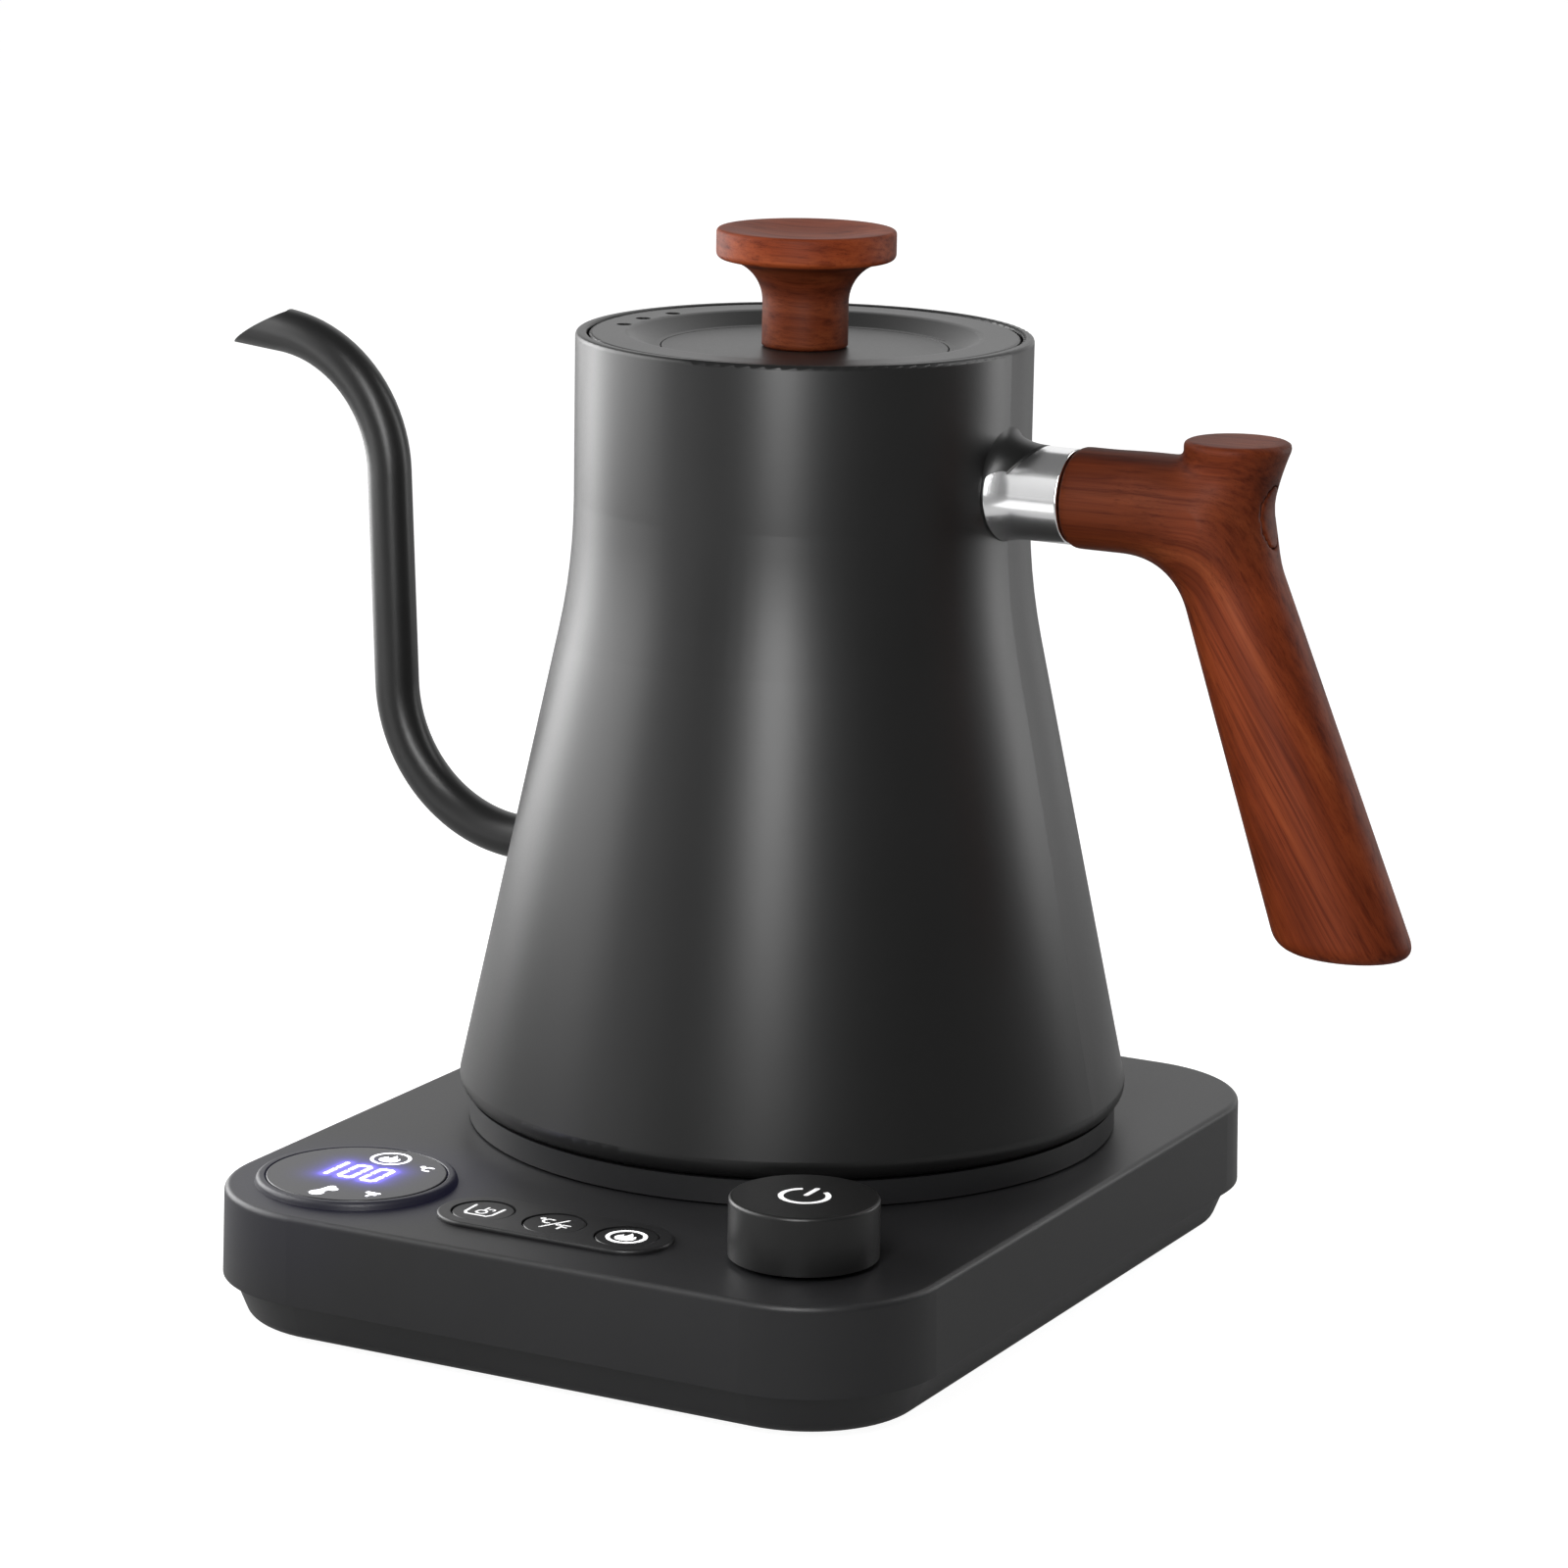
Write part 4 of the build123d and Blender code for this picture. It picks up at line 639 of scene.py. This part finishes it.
class Flat:
    """Collects flat closed shapes, in millimetres about a local origin, to lay on a level face."""

    def __init__(self):
        self.points, self.faces = [], []

    def shape(self, outline):
        """One closed outline, counter-clockwise, as a single face."""
        start = len(self.points)
        self.points += outline
        self.faces.append(tuple(range(start, start + len(outline))))

    def band(self, inner, outer):
        """A strip between two open rows of points of the same length."""
        start, count = len(self.points), len(inner)
        self.points += list(inner) + list(outer)
        for i in range(count - 1):
            self.faces.append((start + i, start + count + i, start + count + i + 1, start + i + 1))

    def ring(self, x, y, radius, width, start=0.0, end=360.0, steps=40):
        self.band(
            arc((x, y), radius - width / 2, start, end, steps),
            arc((x, y), radius + width / 2, start, end, steps),
        )

    def disc(self, x, y, radius):
        self.shape(arc((x, y), radius, 0.0, 348.0, 29))

    def stroke(self, route, width):
        """A line of even width through points, with round ends and corners."""
        for x, y in route:
            self.disc(x, y, width / 2)
        for (ax, ay), (bx, by) in zip(route, route[1:]):
            run = Vector((bx - ax, by - ay))
            side = Vector((-run.y, run.x)).normalized() * width / 2
            self.shape([
                (ax - side.x, ay - side.y),
                (bx - side.x, by - side.y),
                (bx + side.x, by + side.y),
                (ax + side.x, ay + side.y),
            ])

    def place(self, name, node, material, body):
        """Lays the shapes on the middle of a CAD node's upper face as one thin piece."""
        middle, top = centre(node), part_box(node)[1].z
        points = [(middle.x + x * MM, middle.y + y * MM, top + PRINT) for x, y in self.points]
        piece = mesh_piece(name, points, self.faces, material, body)
        piece.data.polygons.foreach_set("use_smooth", [False] * len(piece.data.polygons))


def flame(flat, x, y, size):
    """A small flame with a split tongue, about size across."""
    right = [
        (0.0, -0.50), (0.28, -0.46), (0.46, -0.24), (0.48, 0.02),
        (0.38, 0.24), (0.27, 0.06), (0.20, 0.30), (0.02, 0.56),
    ]
    left = [
        (-0.06, 0.20), (-0.16, 0.02), (-0.24, 0.28), (-0.40, 0.10),
        (-0.48, -0.12), (-0.40, -0.34), (-0.22, -0.48),
    ]
    flat.shape([(x + px * size, y + py * size) for px, py in right + left])


def degree_letter(flat, x, y, letter, size, width):
    """A small ring and then C or F."""
    flat.ring(x - 0.52 * size, y + 0.34 * size, 0.13 * size, width * 0.8, steps=16)
    if letter == "C":
        flat.ring(x + 0.12 * size, y, 0.40 * size, width, 50.0, 310.0, 24)
    else:
        left, top, middle = x - 0.18 * size, y + 0.42 * size, y + 0.02 * size
        flat.stroke([(left, y - 0.45 * size), (left, top), (left + 0.52 * size, top)], width)
        flat.stroke([(left, middle), (left + 0.42 * size, middle)], width)


DIGIT_W, DIGIT_H = 2.8, 7.8     # between the middles of the strokes
DIGIT_MIDDLE = 0.95             # above the display's centre
DIGIT_GAP = 1.25                # between the upper and the lower strokes
DIGIT_CUT = 0.6                 # slanted corners of the noughts
DIGIT_STROKE = 1.0
ONE_X = -5.1
NOUGHTS_X = (-0.95, 4.1)


def digit_strokes():
    """Routes of the lit strokes of 100, in millimetres about the display's centre."""
    for side in (-1, 1):
        inner = DIGIT_MIDDLE + side * DIGIT_GAP / 2
        outer = DIGIT_MIDDLE + side * DIGIT_H / 2
        yield [(ONE_X, inner), (ONE_X, outer)]
        for x in NOUGHTS_X:
            left, right = x - DIGIT_W / 2, x + DIGIT_W / 2
            yield [
                (left, inner), (left, outer - side * DIGIT_CUT), (left + DIGIT_CUT, outer),
                (right - DIGIT_CUT, outer), (right, outer - side * DIGIT_CUT), (right, inner),
            ]


def build_display():
    """Lit digits and symbols on the window, and the light that spreads around them."""
    lit = light_print("lit_symbol", (0.94, 0.94, 1.0), 1.25)
    digits = Flat()
    for route in digit_strokes():
        digits.stroke(route, DIGIT_STROKE)
    digits.place("display_digits", "display_window", lit, "base")

    # a ringed flame, the two units, and a thermometer with a drop beside it
    signs = Flat()
    signs.ring(0.6, 11.4, 3.70, 0.70)
    flame(signs, 0.6, 11.2, 4.4)
    degree_letter(signs, 10.2, 9.1, "C", 2.7, 0.60)
    degree_letter(signs, 10.0, -10.2, "F", 2.7, 0.60)
    signs.disc(0.1, -14.2, 1.5)
    signs.stroke([(0.2, -13.2), (0.9, -10.0)], 1.7)
    signs.disc(1.9, -11.0, 0.9)
    signs.place("display_signs", "display_window", lit, "base")

    # the window itself, as a fine disc that can hold the glow
    low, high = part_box("display_window")
    radius, top = (high.x - low.x) / 2, high.z
    rings, spokes = 60, 144
    eye, edge = 0.02 * MM, 0.25 * MM
    outline = [(eye, top)]
    outline += [(radius * i / rings, top) for i in range(1, rings)]
    outline += arc((radius - edge, top - edge), edge, 90.0, 0.0, 4)
    outline += [(radius, low.z), (eye, low.z)]
    outline.reverse()
    smoked = MATERIALS["window_black"]
    window = lathe("window", outline, smoked, "base", DISPLAY, spokes)
    points = vertices(window)
    flat = (points[:, :2] - np.array([DISPLAY.x, DISPLAY.y])) / MM
    glow = np.zeros(len(points))
    for route in digit_strokes():
        for start, end in zip(route, route[1:]):
            start, run = np.array(start), np.array(end) - np.array(start)
            share = np.clip((flat - start) @ run / (run @ run), 0.0, 1.0)
            away = np.linalg.norm(flat - start - share[:, None] * run, axis=1)
            glow = np.maximum(glow, np.exp(-away / 1.1) + 0.10 * np.exp(-((away / 4.2) ** 2)))
    on_top = points[:, 2] > top - 0.2 * MM
    store(window, "glow", "FLOAT", np.clip(glow, 0.0, 1.0) * on_top)
    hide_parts("display_window")


def build_button_symbols():
    """A symbol on each button: keep warm, unit and heat, and the power sign on the knob."""
    printed = light_print("printed_symbol", (0.86, 0.86, 0.86), 0.30)
    bright = light_print("lit_button", (1.0, 1.0, 1.0), 0.95)

    cup = Flat()
    side = [(-3.1, 2.6), (-2.9, -1.6), (-2.2, -2.7)]
    cup.stroke(side + [(-x, y) for x, y in reversed(side)], 0.62)
    cup.ring(0.0, -0.6, 1.0, 0.52, steps=20)
    cup.stroke([(0.0, 0.3), (0.0, 2.2)], 0.52)
    cup.ring(1.3, 1.1, 0.55, 0.42, -60.0, 200.0, 14)
    cup.place("keep_warm_symbol", "keep_warm_button", printed, "keep_warm_button")

    units = Flat()
    degree_letter(units, -2.0, 0.9, "C", 2.8, 0.54)
    units.stroke([(-1.5, -2.9), (1.5, 2.9)], 0.5)
    degree_letter(units, 2.4, -1.1, "F", 2.8, 0.54)
    units.place("unit_symbol", "unit_button", printed, "unit_button")

    heat = Flat()
    heat.ring(0.0, 0.0, 3.55, 0.8)
    flame(heat, 0.0, -0.2, 4.3)
    heat.place("heat_symbol", "heat_button", bright, "heat_button")

    power = Flat()
    power.ring(0.0, 0.0, 4.4, 1.05, 122.0, 418.0, 48)
    power.stroke([(0.0, 0.6), (0.0, 5.0)], 1.0)
    power.place("power_symbol", "control_knob", printed, "knob")


# ---------------------------------------------------------------- studio
CAMERA_PLACE = Vector((485.734, -904.116, 332.986)) * MM
CAMERA_RIGHT = Vector((0.88180604, 0.47133298, 0.0162277))
CAMERA_UP = Vector((-0.11894074, 0.18896331, 0.97475431))
CAMERA_BACK = Vector((0.45636741, -0.86147437, 0.22268968))
CAMERA_LENS, CAMERA_SENSOR = 123.95, 36.0       # millimetres
FLOOR_R = 9.0
FLOOR_ALBEDO = 0.30
FLOOR_GLOW = (0.15, 0.95)       # light given to the kettle, and as the camera sees it
WORLD_LIGHT = (0.17, 1.0)       # likewise
# name, bearing in degrees, distance, bottom, top and width in metres, radiance
SOFTBOXES = (
    ("front_strip", 10.0, 0.34, 0.130, 0.56, 0.082, 13.5),
    ("front_fill", 60.0, 1.2, 0.0, 1.3, 0.50, 0.60),
    ("upper_left_box", 95.0, 0.9, 0.62, 1.30, 1.10, 0.80),
    ("left_box", 104.0, 0.42, 0.090, 0.50, 0.50, 4.2),
    ("left_back_box", 132.0, 0.46, 0.035, 0.36, 0.26, 3.6),
    ("right_strip", -107.0, 0.42, 0.080, 0.60, 0.12, 4.2),
    ("right_low_box", -128.0, 0.60, 0.0, 0.12, 0.50, 0.5),
    ("back_box", -170.0, 1.9, 0.0, 2.2, 2.2, 0.74),
)


def build_camera():
    data = bpy.data.cameras.new("camera")
    data.sensor_width = CAMERA_SENSOR
    data.lens = CAMERA_LENS
    data.clip_start, data.clip_end = 0.05, 60.0
    camera = bpy.data.objects.new("camera", data)
    turn = Matrix((CAMERA_RIGHT, CAMERA_UP, CAMERA_BACK)).transposed()
    camera.matrix_world = Matrix.Translation(CAMERA_PLACE) @ turn.to_4x4()
    bpy.context.scene.collection.objects.link(camera)
    bpy.context.scene.camera = camera


def place_at(bearing, distance, height):
    """A point around the kettle; bearing is measured from the camera's direction to its left."""
    towards = Vector((CAMERA_BACK.x, CAMERA_BACK.y, 0)).normalized()
    left = Vector((towards.y, -towards.x, 0))
    away = towards * cos(radians(bearing)) + left * sin(radians(bearing))
    return Vector((KETTLE_AXIS.x, KETTLE_AXIS.y, height)) + away * distance


def add_area_light(name, width, height, radiance):
    """A rectangular soft light that the camera doesn't see."""
    data = bpy.data.lights.new(name, "AREA")
    data.shape = "RECTANGLE"
    data.size, data.size_y = width, height
    data.energy = radiance * pi * width * height
    light = bpy.data.objects.new(name, data)
    light.visible_camera = False
    bpy.context.scene.collection.objects.link(light)
    return light


def softbox(name, bearing, distance, bottom, top, width, radiance):
    """An upright soft light that faces the kettle."""
    light = add_area_light(name, width, top - bottom, radiance)
    light.location = place_at(bearing, distance, (bottom + top) / 2)
    facing = place_at(bearing, 0.0, light.location.z) - light.location
    light.rotation_mode = "QUATERNION"
    light.rotation_quaternion = facing.to_track_quat("-Z", "Y")


def build_studio():
    """Pale floor, white surroundings and soft lights."""
    world = bpy.data.worlds.new("studio")
    world.use_nodes = True
    tree = world.node_tree
    seen = tree.nodes.new("ShaderNodeLightPath").outputs["Is Camera Ray"]
    level = tree.nodes.new("ShaderNodeMapRange")
    level.inputs["To Min"].default_value = WORLD_LIGHT[0]
    level.inputs["To Max"].default_value = WORLD_LIGHT[1]
    tree.links.new(seen, level.inputs["Value"])
    tree.links.new(level.outputs["Result"], tree.nodes["Background"].inputs["Strength"])
    tree.nodes["Background"].inputs["Color"].default_value = (1.0, 1.0, 1.0, 1.0)
    bpy.context.scene.world = world
    bpy.context.scene.view_settings.view_transform = "Standard"

    s = Shader("pale_floor")
    seen = s.node("LightPath").outputs["Is Camera Ray"]
    s.finish(
        Base_Color=(*grey(FLOOR_ALBEDO), 1.0),
        Roughness=0.9,
        Specular_IOR_Level=0.1,
        Emission_Color=(*grey(1.0), 1.0),
        Emission_Strength=s.spread(seen, *FLOOR_GLOW),
    )
    mesh = bpy.data.meshes.new("floor")
    turns = [2 * pi * i / 96 for i in range(96)]
    rim = [(FLOOR_R * cos(turn), FLOOR_R * sin(turn), 0.0) for turn in turns]
    mesh.from_pydata(rim, [], [tuple(range(len(rim)))])
    mesh.materials.append(s.material)
    floor = bpy.data.objects.new("floor", mesh)
    bpy.context.scene.collection.objects.link(floor)

    for box in SOFTBOXES:
        softbox(*box)
    # card lying on the table in front of the handle, which fills the mirror of the collar
    card = add_area_light("bounce_card", 0.34, 0.56, 0.85)
    card.location = place_at(62.0, 0.52, 0.004)
    card.rotation_euler = (pi, 0.0, atan2(card.location.y, card.location.x) + pi / 2)


dress_nodes()
build_handle()
build_collar()
build_lid_knob()
build_display()
build_button_symbols()
build_camera()
build_studio()
